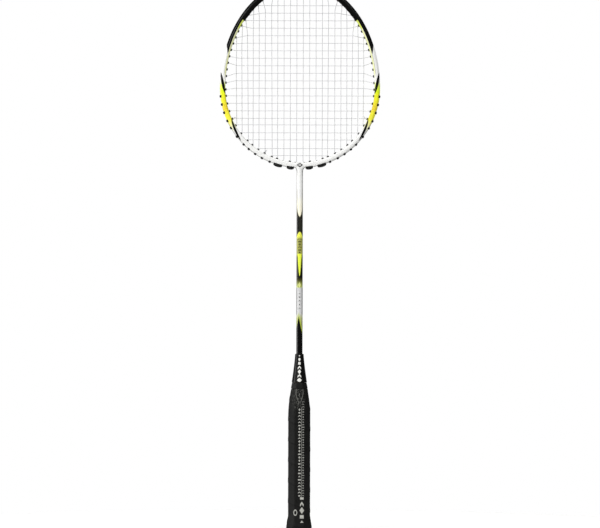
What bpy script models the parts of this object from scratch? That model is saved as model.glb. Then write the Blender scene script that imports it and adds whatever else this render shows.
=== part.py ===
"""A badminton racket: hollow oval hoop, T-joint, tubular shaft, wooden handle, grip, grommets and strings.

The shaft stands along +Z, the string bed lies in the XZ plane, and the racket's depth runs along Y.
The origin is at the middle of the butt's flat end. Units are metres.

A place on the hoop is an angle and a depth. The angle is 0 at the throat, grows towards +X and is pi at
the top. The depth is measured inwards from the hoop's outer rim, so a negative depth is outside it.
"""

import bisect
import math

import bmesh
import bpy
from mathutils import Matrix, Vector

MM = 0.001
GAP = 0.3 * MM  # between pieces that touch

# Overall
LENGTH = 675 * MM
HEAD_WIDTH = 196 * MM
HEAD_WIDEST_Z = 543.5 * MM

# Hoop section: a box with chamfered edges, a string groove in its outer face and a hollow inside
HOOP_WIDTH = 6.6 * MM
HOOP_DEPTH = 10.0 * MM
HOOP_WALL = 1.0 * MM
OUTER_CHAMFER = 2.2 * MM, 1.8 * MM  # across the face, down the rim
INNER_CHAMFER = 1.2 * MM
GROOVE_DEPTH = 1.5 * MM
GROOVE_WIDTH = 4.6 * MM
HOOP_SEGMENTS = 64
BAND_STEP = math.radians(4)  # of the open bands that follow the hoop
CROWN_WIDTH = 7.8 * MM  # the hoop's greater width round its top
CROWN_START, CROWN_FULL = math.radians(128), math.radians(134)
CROWN_ROOT = 1.2 * MM  # how deep the crown's thickening is sunk in the hoop

# Throat and shaft
SHAFT_RADIUS = 3.8 * MM
SHAFT_BORE_RADIUS = 2.7 * MM
SHAFT_BOTTOM_Z = 110 * MM
SHAFT_TOP_Z = 436 * MM
THROAT_FILLET = 2.4 * MM
THROAT_FILLET_HEIGHT = 6 * MM
STEM_RADIUS = 2.3 * MM
STEM_BOTTOM_Z = 408 * MM
CROSSBAR_HALF_ANGLE = math.radians(10)

# Strings
STRING_RADIUS = 0.35 * MM
MAINS = 22
CROSSES = 22
MAIN_PITCH = 7.85 * MM  # at the middle, closing up towards the sides
MAIN_CLOSING = 0.0038 * MM
CROSS_LOWEST_Z = 460.2 * MM
CROSS_PITCH = 9.2 * MM
STRING_PLANE = 0.5 * MM  # mains lie this far behind the middle plane, crosses this far in front
STRING_TURN = 0.6 * MM  # half the length of the rounded turn at each hole's outer end
STRING_LIFT = 0.2 * MM  # of the outer loops over the grommets
MOST_LOOP_STEP = math.radians(6.5)
BED_MARGIN = 10 * MM  # from the holes to where the strings join the bed's even grid

# Grommets
BARREL_SIDES = 6
BARREL_RADIUS = 1.45 * MM
BARREL_BORE_RADIUS = 1.05 * MM
BARREL_STANDOUT = 1.5 * MM  # past the hoop's inner face
FLUSH_STANDOUT = 0.2 * MM
BASE_LIFT = 0.15 * MM  # above the groove's floor
BASE_THICKNESS = 0.45 * MM
BASE_WIDTH = 3.8 * MM
TUNNEL_HEIGHT = 0.9 * MM
TUNNEL_WIDTH = 2.2 * MM
HOOD_LENGTH = 3.0 * MM
HOOD_WIDTH = 6.4 * MM
HOOD_STANDOUT = 1.1 * MM
HOOD_BEVEL = 0.9 * MM
PAD_STANDOUT = 2.6 * MM
PAD_SHOULDER = 0.4 * MM  # height of a throat pad's ends over the rim
PAD_FULLNESS = 0.85  # under 1 for a dome with full shoulders
PAD_OVERHANG = 1.5 * MM  # a throat pad's length past its outer string holes
STRIP_OVERHANG = 2.2 * MM  # a strip's length past its outer string holes
HOLE_SPACING = 4.5 * MM  # string ends closer than this share a hole
UPPER_HOLES = 22  # evenly spaced, past the single grommets
THROAT_HOLES = 4
THROAT_EXIT_SHIFTS = (4.3 * MM, 1.8 * MM, 1.6 * MM, 1.0 * MM)  # where the slanted throat holes come out
THROAT_STANDOUTS = (FLUSH_STANDOUT, BARREL_STANDOUT, FLUSH_STANDOUT, BARREL_STANDOUT)
SINGLE_GROMMETS = 11
SIDE_STRIP_HOLES = 7

# Handle
GRIP_HALF_WIDTH = 13.8 * MM
GRIP_HALF_DEPTH = 12.3 * MM
GRIP_THICKNESS = 1.9 * MM
GRIP_BOTTOM_Z = 5.4 * MM
GRIP_TAPER_Z = 145 * MM
GRIP_TOP_Z = 182.7 * MM
GRIP_TOP_HALF_WIDTH = 8.9 * MM
TAPER_POWER = 1.6
FLARE_Z = 20 * MM
BUTT_HALF_WIDTH = 17.0 * MM
TAPE_HEIGHT = 7 * MM
TAPE_THICKNESS = 0.4 * MM
TAPE_SLOPE = 0.6 * MM  # height of the step down to the tape's seat
CORE_BOTTOM_Z = 3.3 * MM
CORE_SHOULDER_Z = 18.3 * MM
CORE_TOP_Z = 192 * MM
CORE_TENON_HALF_WIDTH = 10.6 * MM
CORE_TOP_HALF_WIDTH = 5.9 * MM
CAP_SKIRT_TOP_Z = 18 * MM
CAP_FLANGE_TOP_Z = 5.1 * MM
CONE_BOTTOM_Z = 183 * MM
CONE_TOP_Z = 218 * MM
CONE_BOTTOM_RADIUS = 9.3 * MM
CONE_TOP_RADIUS = 5.2 * MM
CONE_POWER = 1.25
CONE_WALL = 1.35 * MM
CONE_SHOULDER_RADIUS = 6.8 * MM  # inside, round the core's top end
TACK_Z = 11 * MM
TACK_RADIUS = 0.6 * MM
TACK_HEAD_RADIUS = 1.3 * MM
TACK_HEAD_THICKNESS = 0.4 * MM
TACK_LENGTH = 6 * MM

ROUND_STEPS = 20

HEAD_HALF_WIDTH = HEAD_WIDTH / 2
HEAD_RISE = LENGTH - HEAD_WIDEST_Z
HOOP_BOTTOM_Z = HEAD_WIDEST_Z - HEAD_HALF_WIDTH
DEPTH_RATIO = GRIP_HALF_DEPTH / GRIP_HALF_WIDTH
BASE_TOP_DEPTH = GROOVE_DEPTH - BASE_LIFT - BASE_THICKNESS
STRING_LOOP_DEPTH = BASE_TOP_DEPTH - STRING_LIFT - STRING_RADIUS
HOLLOW_NEAR = GROOVE_DEPTH + HOOP_WALL
HOLLOW_FAR = HOOP_WIDTH - HOOP_WALL
HOLLOW_DEPTH = HOOP_DEPTH - 2.6 * HOOP_WALL
BARREL_END_DEPTH = HOOP_WIDTH + BARREL_STANDOUT
STRING_BEND_DEPTH = BARREL_END_DEPTH + 0.4 * MM

MATERIALS = {
    "frame_paint": ((0.62, 0.62, 0.60), 0.25, 0.3),
    "shaft_paint": ((0.02, 0.02, 0.02), 0.2, 0.1),
    "composite": ((0.03, 0.03, 0.03), 0.5, 0.0),
    "cone_plastic": ((0.01, 0.01, 0.01), 0.3, 0.0),
    "cap_plastic": ((0.012, 0.012, 0.012), 0.45, 0.0),
    "grommet_plastic": ((0.01, 0.01, 0.01), 0.4, 0.0),
    "grip_cover": ((0.015, 0.015, 0.015), 0.4, 0.0),
    "grip_tape": ((0.01, 0.01, 0.01), 0.3, 0.0),
    "core_wood": ((0.55, 0.38, 0.2), 0.6, 0.0),
    "string_nylon": ((0.75, 0.75, 0.72), 0.35, 0.0),
    "tack_steel": ((0.6, 0.6, 0.6), 0.3, 1.0),
}


# The scene


def clear_scene():
    for obj in list(bpy.data.objects):
        bpy.data.objects.remove(obj)


def new_collection(name, hidden=False):
    collection = bpy.data.collections.new(name)
    bpy.context.scene.collection.children.link(collection)
    collection.hide_render = hidden
    return collection


def new_material(name):
    colour, roughness, metallic = MATERIALS[name]
    material = bpy.data.materials.new(name)
    material.use_nodes = True
    shader = material.node_tree.nodes["Principled BSDF"]
    shader.inputs["Base Color"].default_value = (*colour, 1)
    shader.inputs["Roughness"].default_value = roughness
    shader.inputs["Metallic"].default_value = metallic
    material.diffuse_color = (*colour, 1)
    return material


def place(name, data, material=None, matrix=None):
    """A new object of the racket or, with no material, a cutter."""
    obj = bpy.data.objects.new(name, data)
    if matrix:
        obj.matrix_world = matrix
    if material:
        RACKET.objects.link(obj)
        data.materials.clear()
        data.materials.append(MADE_MATERIALS[material])
    else:
        CUTTERS.objects.link(obj)
        obj.hide_render = True
        obj.display_type = "WIRE"
    return obj


def evaluated_mesh(obj):
    """The object's mesh in world space, with its curve or modifiers worked out and its loose caps welded."""
    bpy.context.view_layer.update()
    graph = bpy.context.evaluated_depsgraph_get()
    mesh = bpy.data.meshes.new_from_object(obj.evaluated_get(graph))
    mesh.transform(obj.matrix_world)
    shape = bmesh.new()
    shape.from_mesh(mesh)
    bmesh.ops.remove_doubles(shape, verts=shape.verts, dist=1e-6)
    bmesh.ops.recalc_face_normals(shape, faces=shape.faces)
    shape.to_mesh(mesh)
    shape.free()
    return mesh


def as_mesh(obj):
    """Replaces a curve, or an object with modifiers, by a plain mesh object."""
    mesh = evaluated_mesh(obj)
    name = obj.name
    material = obj.data.materials[0].name if obj.data.materials else None
    bpy.data.objects.remove(obj)
    return place(name, mesh, material)


def smooth(obj, degrees=35):
    obj.data.shade_smooth()
    obj.data.set_sharp_from_angle(angle=math.radians(degrees))


def combine(obj, tool, operation):
    modifier = obj.modifiers.new(f"{operation.lower()}_{tool.name}", "BOOLEAN")
    modifier.operation = operation
    modifier.object = tool
    modifier.solver = "EXACT"


# Shapes


def mesh_from(name, shape):
    bmesh.ops.recalc_face_normals(shape, faces=shape.faces)
    mesh = bpy.data.meshes.new(name)
    shape.to_mesh(mesh)
    shape.free()
    return mesh


def turned(name, profile, material=None, steps=ROUND_STEPS, closed=False):
    """A profile of (radius, z) points turned about Z. Its outer side runs downwards."""
    mesh = bpy.data.meshes.new(name)
    ends = list(range(1, len(profile))) + ([0] if closed else [])
    mesh.from_pydata([(r, 0, z) for r, z in profile], list(enumerate(ends)), [])
    obj = place(name, mesh, material)
    screw = obj.modifiers.new("turn", "SCREW")
    screw.steps = steps
    screw.render_steps = steps
    screw.use_merge_vertices = True
    screw.merge_threshold = 1e-5
    return obj


def loft(rings, joined=False):
    """A mesh through rings of equal point counts, capped at its ends or joined from last to first."""
    shape = bmesh.new()
    loops = [[shape.verts.new(point) for point in ring] for ring in rings]
    pairs = list(zip(loops, loops[1:]))
    if joined:
        pairs.append((loops[-1], loops[0]))
    else:
        shape.faces.new(loops[0])
        shape.faces.new(loops[-1])
    for upper, lower in pairs:
        for k in range(len(upper)):
            n = (k + 1) % len(upper)
            shape.faces.new((upper[k], upper[n], lower[n], lower[k]))
    return mesh_from("loft", shape)


def ellipse(half_x, half_y, z, sides=ROUND_STEPS):
    turns = [2 * math.pi * k / sides for k in range(sides)]
    return [(half_x * math.cos(a), half_y * math.sin(a), z) for a in turns]


def octagon(half_x, half_y, z):
    """Eight flats, with the four square to the axes half_x and half_y away."""
    slack = 1 / math.cos(math.pi / 8)
    turns = [2 * math.pi * (k + 0.5) / 8 for k in range(8)]
    return [(half_x * slack * math.cos(a), half_y * slack * math.sin(a), z) for a in turns]


def prism_between(shape, start, end, radius, sides):
    """Adds a prism from start to end to a bmesh, with a corner towards +Y."""
    axis = (end - start).normalized()
    side = Vector((0, 1, 0)).cross(axis)
    turn = Matrix((side, Vector((0, 1, 0)), axis)).transposed().to_4x4()
    bmesh.ops.create_cone(
        shape,
        cap_ends=True,
        segments=sides,
        radius1=radius,
        radius2=radius,
        depth=(end - start).length,
        matrix=Matrix.Translation((start + end) / 2) @ turn,
    )


def prisms(name, spans, radius, sides=BARREL_SIDES):
    shape = bmesh.new()
    for start, end in spans:
        prism_between(shape, start, end, radius, sides)
    return place(name, mesh_from(name, shape))


def poly_curve(name, points, cyclic=False, flat=False):
    curve = bpy.data.curves.new(name, "CURVE")
    curve.dimensions = "2D" if flat else "3D"
    spline = curve.splines.new("POLY")
    spline.points.add(len(points) - 1)
    for spot, point in zip(spline.points, points):
        spot.co = (*point, 0, 1) if flat else (*point, 1)
    spline.use_cyclic_u = cyclic
    return curve


def flat_plate(name, outline, thickness, matrix):
    """A flat outline in its own XY plane, with its thickness along its own Z."""
    curve = poly_curve(name, outline, cyclic=True, flat=True)
    curve.fill_mode = "BOTH"
    curve.extrude = thickness / 2
    return as_mesh(place(name, curve, matrix=matrix))


# The hoop's outline


def hoop_point(angle, depth=0.0, y=0.0):
    rise = HEAD_HALF_WIDTH if abs(angle) <= math.pi / 2 else HEAD_RISE
    x = HEAD_HALF_WIDTH * math.sin(angle)
    z = HEAD_WIDEST_Z - rise * math.cos(angle)
    out = hoop_normal(angle)
    return Vector((x - depth * out.x, y, z - depth * out.z))


def hoop_normal(angle):
    rise = HEAD_HALF_WIDTH if abs(angle) <= math.pi / 2 else HEAD_RISE
    return Vector((math.sin(angle) / HEAD_HALF_WIDTH, 0, -math.cos(angle) / rise)).normalized()


def hoop_matrix(angle, depth=0.0):
    """Local X runs along the hoop, local Y along the racket's depth and local Z outwards."""
    out = hoop_normal(angle)
    along = Vector((0, 1, 0)).cross(out)
    turn = Matrix((along, Vector((0, 1, 0)), out)).transposed().to_4x4()
    return Matrix.Translation(hoop_point(angle, depth)) @ turn


def angles_between(start, end, most_step):
    count = max(1, math.ceil(abs(end - start) / most_step))
    return [start + (end - start) * k / count for k in range(count + 1)]


def swept(name, section, angles=None, material=None):
    """Sweeps a section of (depth, y) points round the whole hoop, or along the given angles."""
    turns = angles or [2 * math.pi * k / HOOP_SEGMENTS - math.pi for k in range(HOOP_SEGMENTS)]
    outline = [hoop_point(a) for a in turns]
    if angles:
        outline.reverse()  # an open flat curve has its inner side on the other hand to a closed one
    path = poly_curve(name, [(p.x, p.z) for p in outline], cyclic=not angles, flat=True)
    profile = poly_curve(f"{name}_section", section, cyclic=True, flat=True)
    path.bevel_mode = "OBJECT"
    path.bevel_object = place(f"{name}_section", profile)
    path.use_fill_caps = bool(angles)
    if not angles:
        path.fill_mode = "NONE"
    upright = Matrix.Rotation(math.pi / 2, 4, "X")
    obj = as_mesh(place(name, path, material, upright))
    bpy.data.objects.remove(bpy.data.objects[f"{name}_section"])
    return obj


def box_section(near, far, width):
    """A rectangle of (depth, y) points."""
    half = width / 2
    return [(near, -half), (far, -half), (far, half), (near, half)]


# String holes


def angle_where(reached, low, high):
    """The angle between low and high where the rising test reached(angle) first holds."""
    for _ in range(50):
        middle = (low + high) / 2
        low, high = (low, middle) if reached(middle) else (middle, high)
    return high


def main_x(k):
    """How far main string k of one half lies from the middle, counted outwards from 0."""
    steps = k + 0.5
    return MAIN_PITCH * steps - MAIN_CLOSING * steps**3


def string_end_angles():
    """Where each string of the right half meets the hoop, keyed by what the string is."""
    ends = {}
    for k in range(MAINS // 2):
        x = main_x(k)
        ends["main_low", k] = angle_where(
            lambda a: hoop_point(a, STRING_BEND_DEPTH).x > x, 0, math.pi / 2
        )
        ends["main_high", k] = angle_where(
            lambda a: hoop_point(a, STRING_BEND_DEPTH).x < x, math.pi / 2, math.pi
        )
    for k in range(CROSSES):
        z = CROSS_LOWEST_Z + k * CROSS_PITCH
        ends["cross", k] = angle_where(
            lambda a: hoop_point(a, STRING_BEND_DEPTH).z > z, 0, math.pi
        )
    return ends


def share_holes(ends):
    """Gives string ends that fall close together one hole. Returns the holes and who uses each."""
    groups = []
    for key in sorted(ends, key=ends.get):
        spot = hoop_point(ends[key])
        if groups and (spot - hoop_point(ends[groups[-1][0]])).length < HOLE_SPACING:
            groups[-1].append(key)
        else:
            groups.append([key])
    holes = [sum(ends[key] for key in group) / len(group) for group in groups]
    return holes, {key: number for number, group in enumerate(groups) for key in group}


class Hole:
    """A string hole: where it opens on the hoop's two sides and how far its grommet stands out inside."""

    def __init__(self, inner, outer, standout=BARREL_STANDOUT):
        self.inner = inner
        self.outer = outer
        self.standout = standout

    def mirrored(self):
        return Hole(-self.inner, -self.outer, self.standout)

    def turned_round(self):
        """The same hole, with its angles counted one turn further."""
        return Hole(2 * math.pi + self.inner, 2 * math.pi + self.outer, self.standout)

    def at(self, depth, y=0.0):
        """The point on the hole's middle line at this depth."""
        start = hoop_point(self.outer, STRING_LOOP_DEPTH)
        end = hoop_point(self.inner, STRING_BEND_DEPTH)
        part = (depth - STRING_LOOP_DEPTH) / (STRING_BEND_DEPTH - STRING_LOOP_DEPTH)
        return start.lerp(end, part) + Vector((0, y, 0))


def even_angles(start, count):
    """Angles evenly spaced along the rim from start to the top, the last one half a space from it."""
    steps = 2000
    fine = [start + (math.pi - start) * k / steps for k in range(steps + 1)]
    runs = [0]
    for here, there in zip(fine, fine[1:]):
        runs.append(runs[-1] + (hoop_point(there) - hoop_point(here)).length)
    space = runs[-1] / (count + 0.5)
    return [fine[bisect.bisect(runs, space * (k + 1))] for k in range(count)]


def right_holes():
    """One side's holes: lower ones where their strings end, upper ones evenly spaced. And who uses each."""
    ends = string_end_angles()
    lower, users = share_holes(ends)
    lower = lower[: THROAT_HOLES + SINGLE_GROMMETS]
    upper = even_angles(lower[-1], UPPER_HOLES)
    for key, number in users.items():
        if number >= len(lower):
            nearest = min(range(UPPER_HOLES), key=lambda k: abs(upper[k] - ends[key]))
            users[key] = len(lower) + nearest
    holes = [Hole(angle, angle) for angle in lower + upper]
    for hole, shift, standout in zip(holes, THROAT_EXIT_SHIFTS, THROAT_STANDOUTS):
        hole.outer += shift / HEAD_HALF_WIDTH
        hole.standout = standout
    return holes, users


def bed_points(key, side, y, users):
    """The place where a string end in an upper hole joins the bed's even grid. Empty for a lower hole."""
    which, k = key
    if users[key] < THROAT_HOLES + SINGLE_GROMMETS:
        return []
    depth = STRING_BEND_DEPTH + BED_MARGIN
    if which == "cross":
        z = CROSS_LOWEST_Z + k * CROSS_PITCH
        angle = angle_where(lambda a: hoop_point(a, depth).z > z, 0, math.pi)
    else:
        x = main_x(k)
        angle = angle_where(lambda a: hoop_point(a, depth).x < x, math.pi / 2, math.pi)
    return [hoop_point(side * angle, depth, y)]


# Strings


def loop_points(first, last, y):
    """Out of one hole, round the outside of the hoop the short way, and into another."""
    way = math.remainder(last.outer - first.outer, 2 * math.pi)
    step = math.copysign(STRING_TURN / HEAD_HALF_WIDTH, way)
    start, end = first.outer + step, first.outer + way - step
    points = [first.at(STRING_BEND_DEPTH, y), first.at(STRING_LOOP_DEPTH + STRING_TURN, y)]
    for angle in angles_between(start, end, MOST_LOOP_STEP):
        points.append(hoop_point(angle, STRING_LOOP_DEPTH, y))
    points += [last.at(STRING_LOOP_DEPTH + STRING_TURN, y), last.at(STRING_BEND_DEPTH, y)]
    return points


def tail_points(first, last, y):
    """The tied end: round to the next hole with room, and back in through it."""
    tail = loop_points(first, last, y)
    return tail + [last.at(STRING_BEND_DEPTH + 2 * STRING_RADIUS, y)]


def main_route(holes, users):
    """From the tied end at the lower left, up and down across the head, to the one at the lower right."""
    y = STRING_PLANE
    half = MAINS // 2
    order = [-1 - k for k in reversed(range(half))] + list(range(half))

    def hole(which, k):
        found = holes[users[which, k if k >= 0 else -1 - k]]
        return found if k >= 0 else found.mirrored()

    def bed(which, k):
        key = (which, k if k >= 0 else -1 - k)
        return bed_points(key, 1 if k >= 0 else -1, y, users)

    spare = holes[users["main_low", half - 1] + 1]
    points = list(reversed(tail_points(hole("main_low", order[0]), spare.mirrored(), y)))
    for turn, (here, there) in enumerate(zip(order, order[1:])):
        which = "main_low" if turn % 2 else "main_high"
        points += bed(which, here) + loop_points(hole(which, here), hole(which, there), y)
        points += bed(which, there)
    return points + tail_points(hole("main_low", order[-1]), spare, y)


def cross_route(holes, users):
    """From the tied end at the lower left, to and fro up the head, to the one at the upper left."""
    y = -STRING_PLANE
    right = [holes[users["cross", k]] for k in range(CROSSES)]
    left = [hole.mirrored() for hole in right]
    low_spare = holes[users["cross", 0] + 1].mirrored()
    high_spare = holes[users["cross", CROSSES - 1] + 1].mirrored()
    points = list(reversed(tail_points(left[0], low_spare, y)))
    for k in range(CROSSES - 1):
        side, sign = (left, -1) if k % 2 else (right, 1)
        points += bed_points(("cross", k), sign, y, users) + loop_points(side[k], side[k + 1], y)
        points += bed_points(("cross", k + 1), sign, y, users)
    points += bed_points(("cross", CROSSES - 1), -1, y, users)
    return points + tail_points(left[-1], high_spare, y)


def make_string(name, points):
    curve = poly_curve(name, points)
    curve.bevel_depth = STRING_RADIUS
    curve.bevel_resolution = 1
    curve.use_fill_caps = True
    place(name, curve, "string_nylon")


# Hoop, T-joint and shaft


def hoop_section():
    half, groove = HOOP_DEPTH / 2, GROOVE_WIDTH / 2
    across, down = OUTER_CHAMFER
    upper_half = [
        (GROOVE_DEPTH, groove),
        (0, groove),
        (0, half - down),
        (across, half),
        (HOOP_WIDTH - INNER_CHAMFER, half),
        (HOOP_WIDTH, half - INNER_CHAMFER),
    ]
    return upper_half + [(depth, -y) for depth, y in reversed(upper_half)]


def throat_rings():
    """The flare where the shaft runs into the hoop, from the shaft's own circle to an oval on the rim."""
    top = HOOP_BOTTOM_Z + GROOVE_DEPTH + HOOP_WALL / 2
    neck = SHAFT_RADIUS
    half_depth = HOOP_DEPTH / 2 - GAP / 3
    rings = [ellipse(neck + THROAT_FILLET, half_depth, top)]
    for k in range(5):
        turn = math.pi / 2 * k / 4
        half_x = neck + THROAT_FILLET * (1 - math.sin(turn))
        half_y = neck + (half_depth - neck) * (1 - math.sin(turn))
        z = HOOP_BOTTOM_Z + GAP - THROAT_FILLET_HEIGHT * (1 - math.cos(turn))
        rings.append(ellipse(half_x, half_y, z))
    rings.append(ellipse(neck, neck, SHAFT_TOP_Z + GAP))
    return rings


def crown():
    """Thickens the hoop inwards round its top, running out smoothly at both ends."""
    half = HOOP_DEPTH / 2 - GAP / 3
    rings = []
    for angle in angles_between(CROWN_START, 2 * math.pi - CROWN_START, BAND_STEP):
        along = min(angle, 2 * math.pi - angle)
        part = min(1, (along - CROWN_START) / (CROWN_FULL - CROWN_START))
        far = HOOP_WIDTH - GAP + (CROWN_WIDTH - HOOP_WIDTH + GAP) * part
        corners = [(HOOP_WIDTH - INNER_CHAMFER - CROWN_ROOT, half), (far - INNER_CHAMFER, half)]
        corners.append((far, half - INNER_CHAMFER))
        corners += [(depth, -y) for depth, y in reversed(corners)]
        rings.append([hoop_point(angle, depth, y) for depth, y in corners])
    return place("crown", loft(rings))


def hood_notches(holes):
    """Cutter for the seats of the hooded grommets, down to the groove's floor right across the rim."""
    spans = [(holes[0], holes[1], PAD_OVERHANG), (holes[2], holes[3], PAD_OVERHANG)]
    for hole in holes[THROAT_HOLES : THROAT_HOLES + SINGLE_GROMMETS]:
        spans.append((hole, hole, HOOD_LENGTH / 2))
    shape = bmesh.new()
    for sign in (1, -1):
        for first, last, overhang in spans:
            length = (last.outer - first.outer) * HEAD_HALF_WIDTH + 2 * (overhang + GAP)
            matrix = hoop_matrix(sign * (first.outer + last.outer) / 2)
            size = Matrix.Diagonal((length, 2 * HOOP_DEPTH, 2 * GROOVE_DEPTH, 1))
            bmesh.ops.create_cube(shape, matrix=matrix @ size)
    return place("hood_notches", mesh_from("hood_notches", shape))


def make_head_frame(spans, holes):
    """The hoop is one hollow tube, drilled through both walls for the grommets."""
    frame = swept("head_frame", hoop_section(), material="frame_paint")
    throat = place("throat", loft(throat_rings()))
    hollow = swept("hollow", box_section(HOLLOW_NEAR, HOLLOW_FAR, HOLLOW_DEPTH))
    drills = prisms("frame_drills", spans, BARREL_RADIUS + GAP)
    low, high = Vector((0, 0, SHAFT_TOP_Z)), Vector((0, 0, HOOP_BOTTOM_Z + HOLLOW_FAR - HOOP_WALL))
    stem_bore = prisms("stem_bore", [(low, high)], STEM_RADIUS + GAP, ROUND_STEPS)
    combine(frame, throat, "UNION")
    combine(frame, crown(), "UNION")
    for tool in (hollow, stem_bore, hood_notches(holes), drills):
        combine(frame, tool, "DIFFERENCE")
    smooth(as_mesh(frame))


def make_t_joint(spans):
    """A crossbar inside the hoop's hollow, with a stem down through the throat into the shaft."""
    near, far = HOLLOW_NEAR + GAP, HOLLOW_FAR - GAP
    angles = angles_between(-CROSSBAR_HALF_ANGLE, CROSSBAR_HALF_ANGLE, BAND_STEP)
    bar = swept("t_joint", box_section(near, far, HOLLOW_DEPTH - 2 * GAP), angles, "composite")
    middle = HOOP_BOTTOM_Z + (near + far) / 2
    foot = Vector((0, 0, STEM_BOTTOM_Z))
    stem = prisms("stem", [(foot, Vector((0, 0, middle)))], STEM_RADIUS, ROUND_STEPS)
    combine(bar, stem, "UNION")
    combine(bar, prisms("bar_drills", spans, BARREL_RADIUS + GAP), "DIFFERENCE")
    smooth(as_mesh(bar))


def make_shaft():
    profile = [
        (SHAFT_RADIUS, SHAFT_TOP_Z),
        (SHAFT_RADIUS, SHAFT_BOTTOM_Z),
        (SHAFT_BORE_RADIUS, SHAFT_BOTTOM_Z),
        (SHAFT_BORE_RADIUS, SHAFT_TOP_Z),
    ]
    smooth(turned("shaft", profile, "shaft_paint", closed=True))


# Grommets


def bore_spans(holes):
    start = BASE_TOP_DEPTH - TUNNEL_HEIGHT / 2
    return [(hole.at(start), hole.at(HOOP_WIDTH + hole.standout + MM)) for hole in holes]


def barrel_spans(holes):
    base_middle = BASE_TOP_DEPTH + BASE_THICKNESS / 2
    return [(hole.at(base_middle), hole.at(HOOP_WIDTH + hole.standout)) for hole in holes]


def make_single_mesh(hole):
    """A barrel under a small rounded hood, with a tunnel under the hood for the strings."""
    size = (HOOD_LENGTH, HOOD_WIDTH, GROOVE_DEPTH - BASE_LIFT + HOOD_STANDOUT)
    shape = bmesh.new()
    bmesh.ops.create_cube(shape, matrix=Matrix.Diagonal((*size, 1)))
    top = size[2] / 2
    crest = [e for e in shape.edges if all(v.co.z > 0 for v in e.verts)]
    bmesh.ops.bevel(shape, geom=crest, offset=HOOD_BEVEL, segments=2, profile=0.5, affect="EDGES")
    bmesh.ops.translate(shape, verts=shape.verts, vec=(0, 0, HOOD_STANDOUT - top))
    hood = place("single_hood", mesh_from("single_hood", shape), "grommet_plastic")
    hood.matrix_world = hoop_matrix(hole.outer)
    hood = as_mesh(hood)
    combine(hood, prisms("single_barrel", barrel_spans([hole]), BARREL_RADIUS), "UNION")
    combine(hood, prisms("single_bore", bore_spans([hole]), BARREL_BORE_RADIUS), "DIFFERENCE")
    combine(hood, tunnel("single_tunnel", hole, hole, HOOD_LENGTH), "DIFFERENCE")
    mesh = evaluated_mesh(hood)
    bpy.data.objects.remove(hood)
    mesh.transform(hoop_matrix(hole.outer).inverted())
    return mesh


def tunnel(name, first, last, overrun):
    """The strings' way under a hood, from before one hole to past another."""
    middle = BASE_TOP_DEPTH - TUNNEL_HEIGHT / 2
    start, end = hoop_point(first.outer, middle), hoop_point(last.outer, middle)
    size = ((end - start).length + 2 * overrun, TUNNEL_WIDTH, TUNNEL_HEIGHT)
    matrix = hoop_matrix((first.outer + last.outer) / 2)
    matrix.translation = (start + end) / 2
    shape = bmesh.new()
    bmesh.ops.create_cube(shape, matrix=matrix @ Matrix.Diagonal((*size, 1)))
    return place(name, mesh_from(name, shape))


def make_single_grommets(holes):
    """The lower sides' grommets, one to a hole, alike and each its own object."""
    chosen = holes[THROAT_HOLES : THROAT_HOLES + SINGLE_GROMMETS]
    mesh = make_single_mesh(chosen[0])
    for side, sign in (("right", 1), ("left", -1)):
        for number, hole in enumerate(chosen, 1):
            name = f"grommet_{side}_{number:02d}"
            obj = place(name, mesh, "grommet_plastic", hoop_matrix(sign * hole.outer))
            smooth(obj)


def pad_outline(half_length):
    """A low dome, as points along the hoop and outwards from the rim."""
    bottom = BASE_LIFT - GROOVE_DEPTH
    points = [(-half_length, bottom), (half_length, bottom)]
    for k in range(11):
        turn = math.pi * k / 10
        height = abs(math.sin(turn)) ** PAD_FULLNESS if 0 < k < 10 else 0
        points.append((half_length * math.cos(turn), PAD_SHOULDER + (PAD_STANDOUT - PAD_SHOULDER) * height))
    return points


def make_throat_grommet(name, first, last):
    """Two barrels under one long hood beside the shaft."""
    middle = (first.outer + last.outer) / 2
    half_length = abs(last.outer - first.outer) * HEAD_HALF_WIDTH / 2 + PAD_OVERHANG
    lengthwise = Matrix.Rotation(math.pi / 2, 4, "X")
    hood = flat_plate("pad", pad_outline(half_length), HOOD_WIDTH, hoop_matrix(middle) @ lengthwise)
    pad = place(name, hood.data.copy(), "grommet_plastic")
    bpy.data.objects.remove(hood)
    pair = [first, last]
    combine(pad, prisms(f"{name}_barrels", barrel_spans(pair), BARREL_RADIUS), "UNION")
    combine(pad, prisms(f"{name}_bores", bore_spans(pair), BARREL_BORE_RADIUS), "DIFFERENCE")
    combine(pad, tunnel(f"{name}_tunnel", first, last, BARREL_BORE_RADIUS * 0.8), "DIFFERENCE")
    smooth(as_mesh(pad))


def make_grommet_strip(name, holes):
    """A thin band in the groove with a barrel at each hole."""
    overhang = STRIP_OVERHANG / HEAD_HALF_WIDTH
    low, high = holes[0].outer - overhang, holes[-1].outer + overhang
    section = box_section(BASE_TOP_DEPTH, BASE_TOP_DEPTH + BASE_THICKNESS, BASE_WIDTH)
    band = swept(name, section, angles_between(low, high, BAND_STEP), "grommet_plastic")
    combine(band, prisms(f"{name}_barrels", barrel_spans(holes), BARREL_RADIUS), "UNION")
    combine(band, prisms(f"{name}_bores", bore_spans(holes), BARREL_BORE_RADIUS), "DIFFERENCE")
    smooth(as_mesh(band))


def make_grommets(holes):
    left = [hole.mirrored() for hole in holes]
    for side, own in (("right", holes), ("left", left)):
        make_throat_grommet(f"throat_grommet_{side}_inner", own[0], own[1])
        make_throat_grommet(f"throat_grommet_{side}_outer", own[2], own[3])
    make_single_grommets(holes)
    first = THROAT_HOLES + SINGLE_GROMMETS
    last = first + SIDE_STRIP_HOLES
    make_grommet_strip("grommet_strip_right", holes[first:last])
    make_grommet_strip("grommet_strip_left", list(reversed(left[first:last])))
    over_the_top = [hole.turned_round() for hole in reversed(left[last:])]
    make_grommet_strip("grommet_strip_top", holes[last:] + over_the_top)


# Handle


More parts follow.
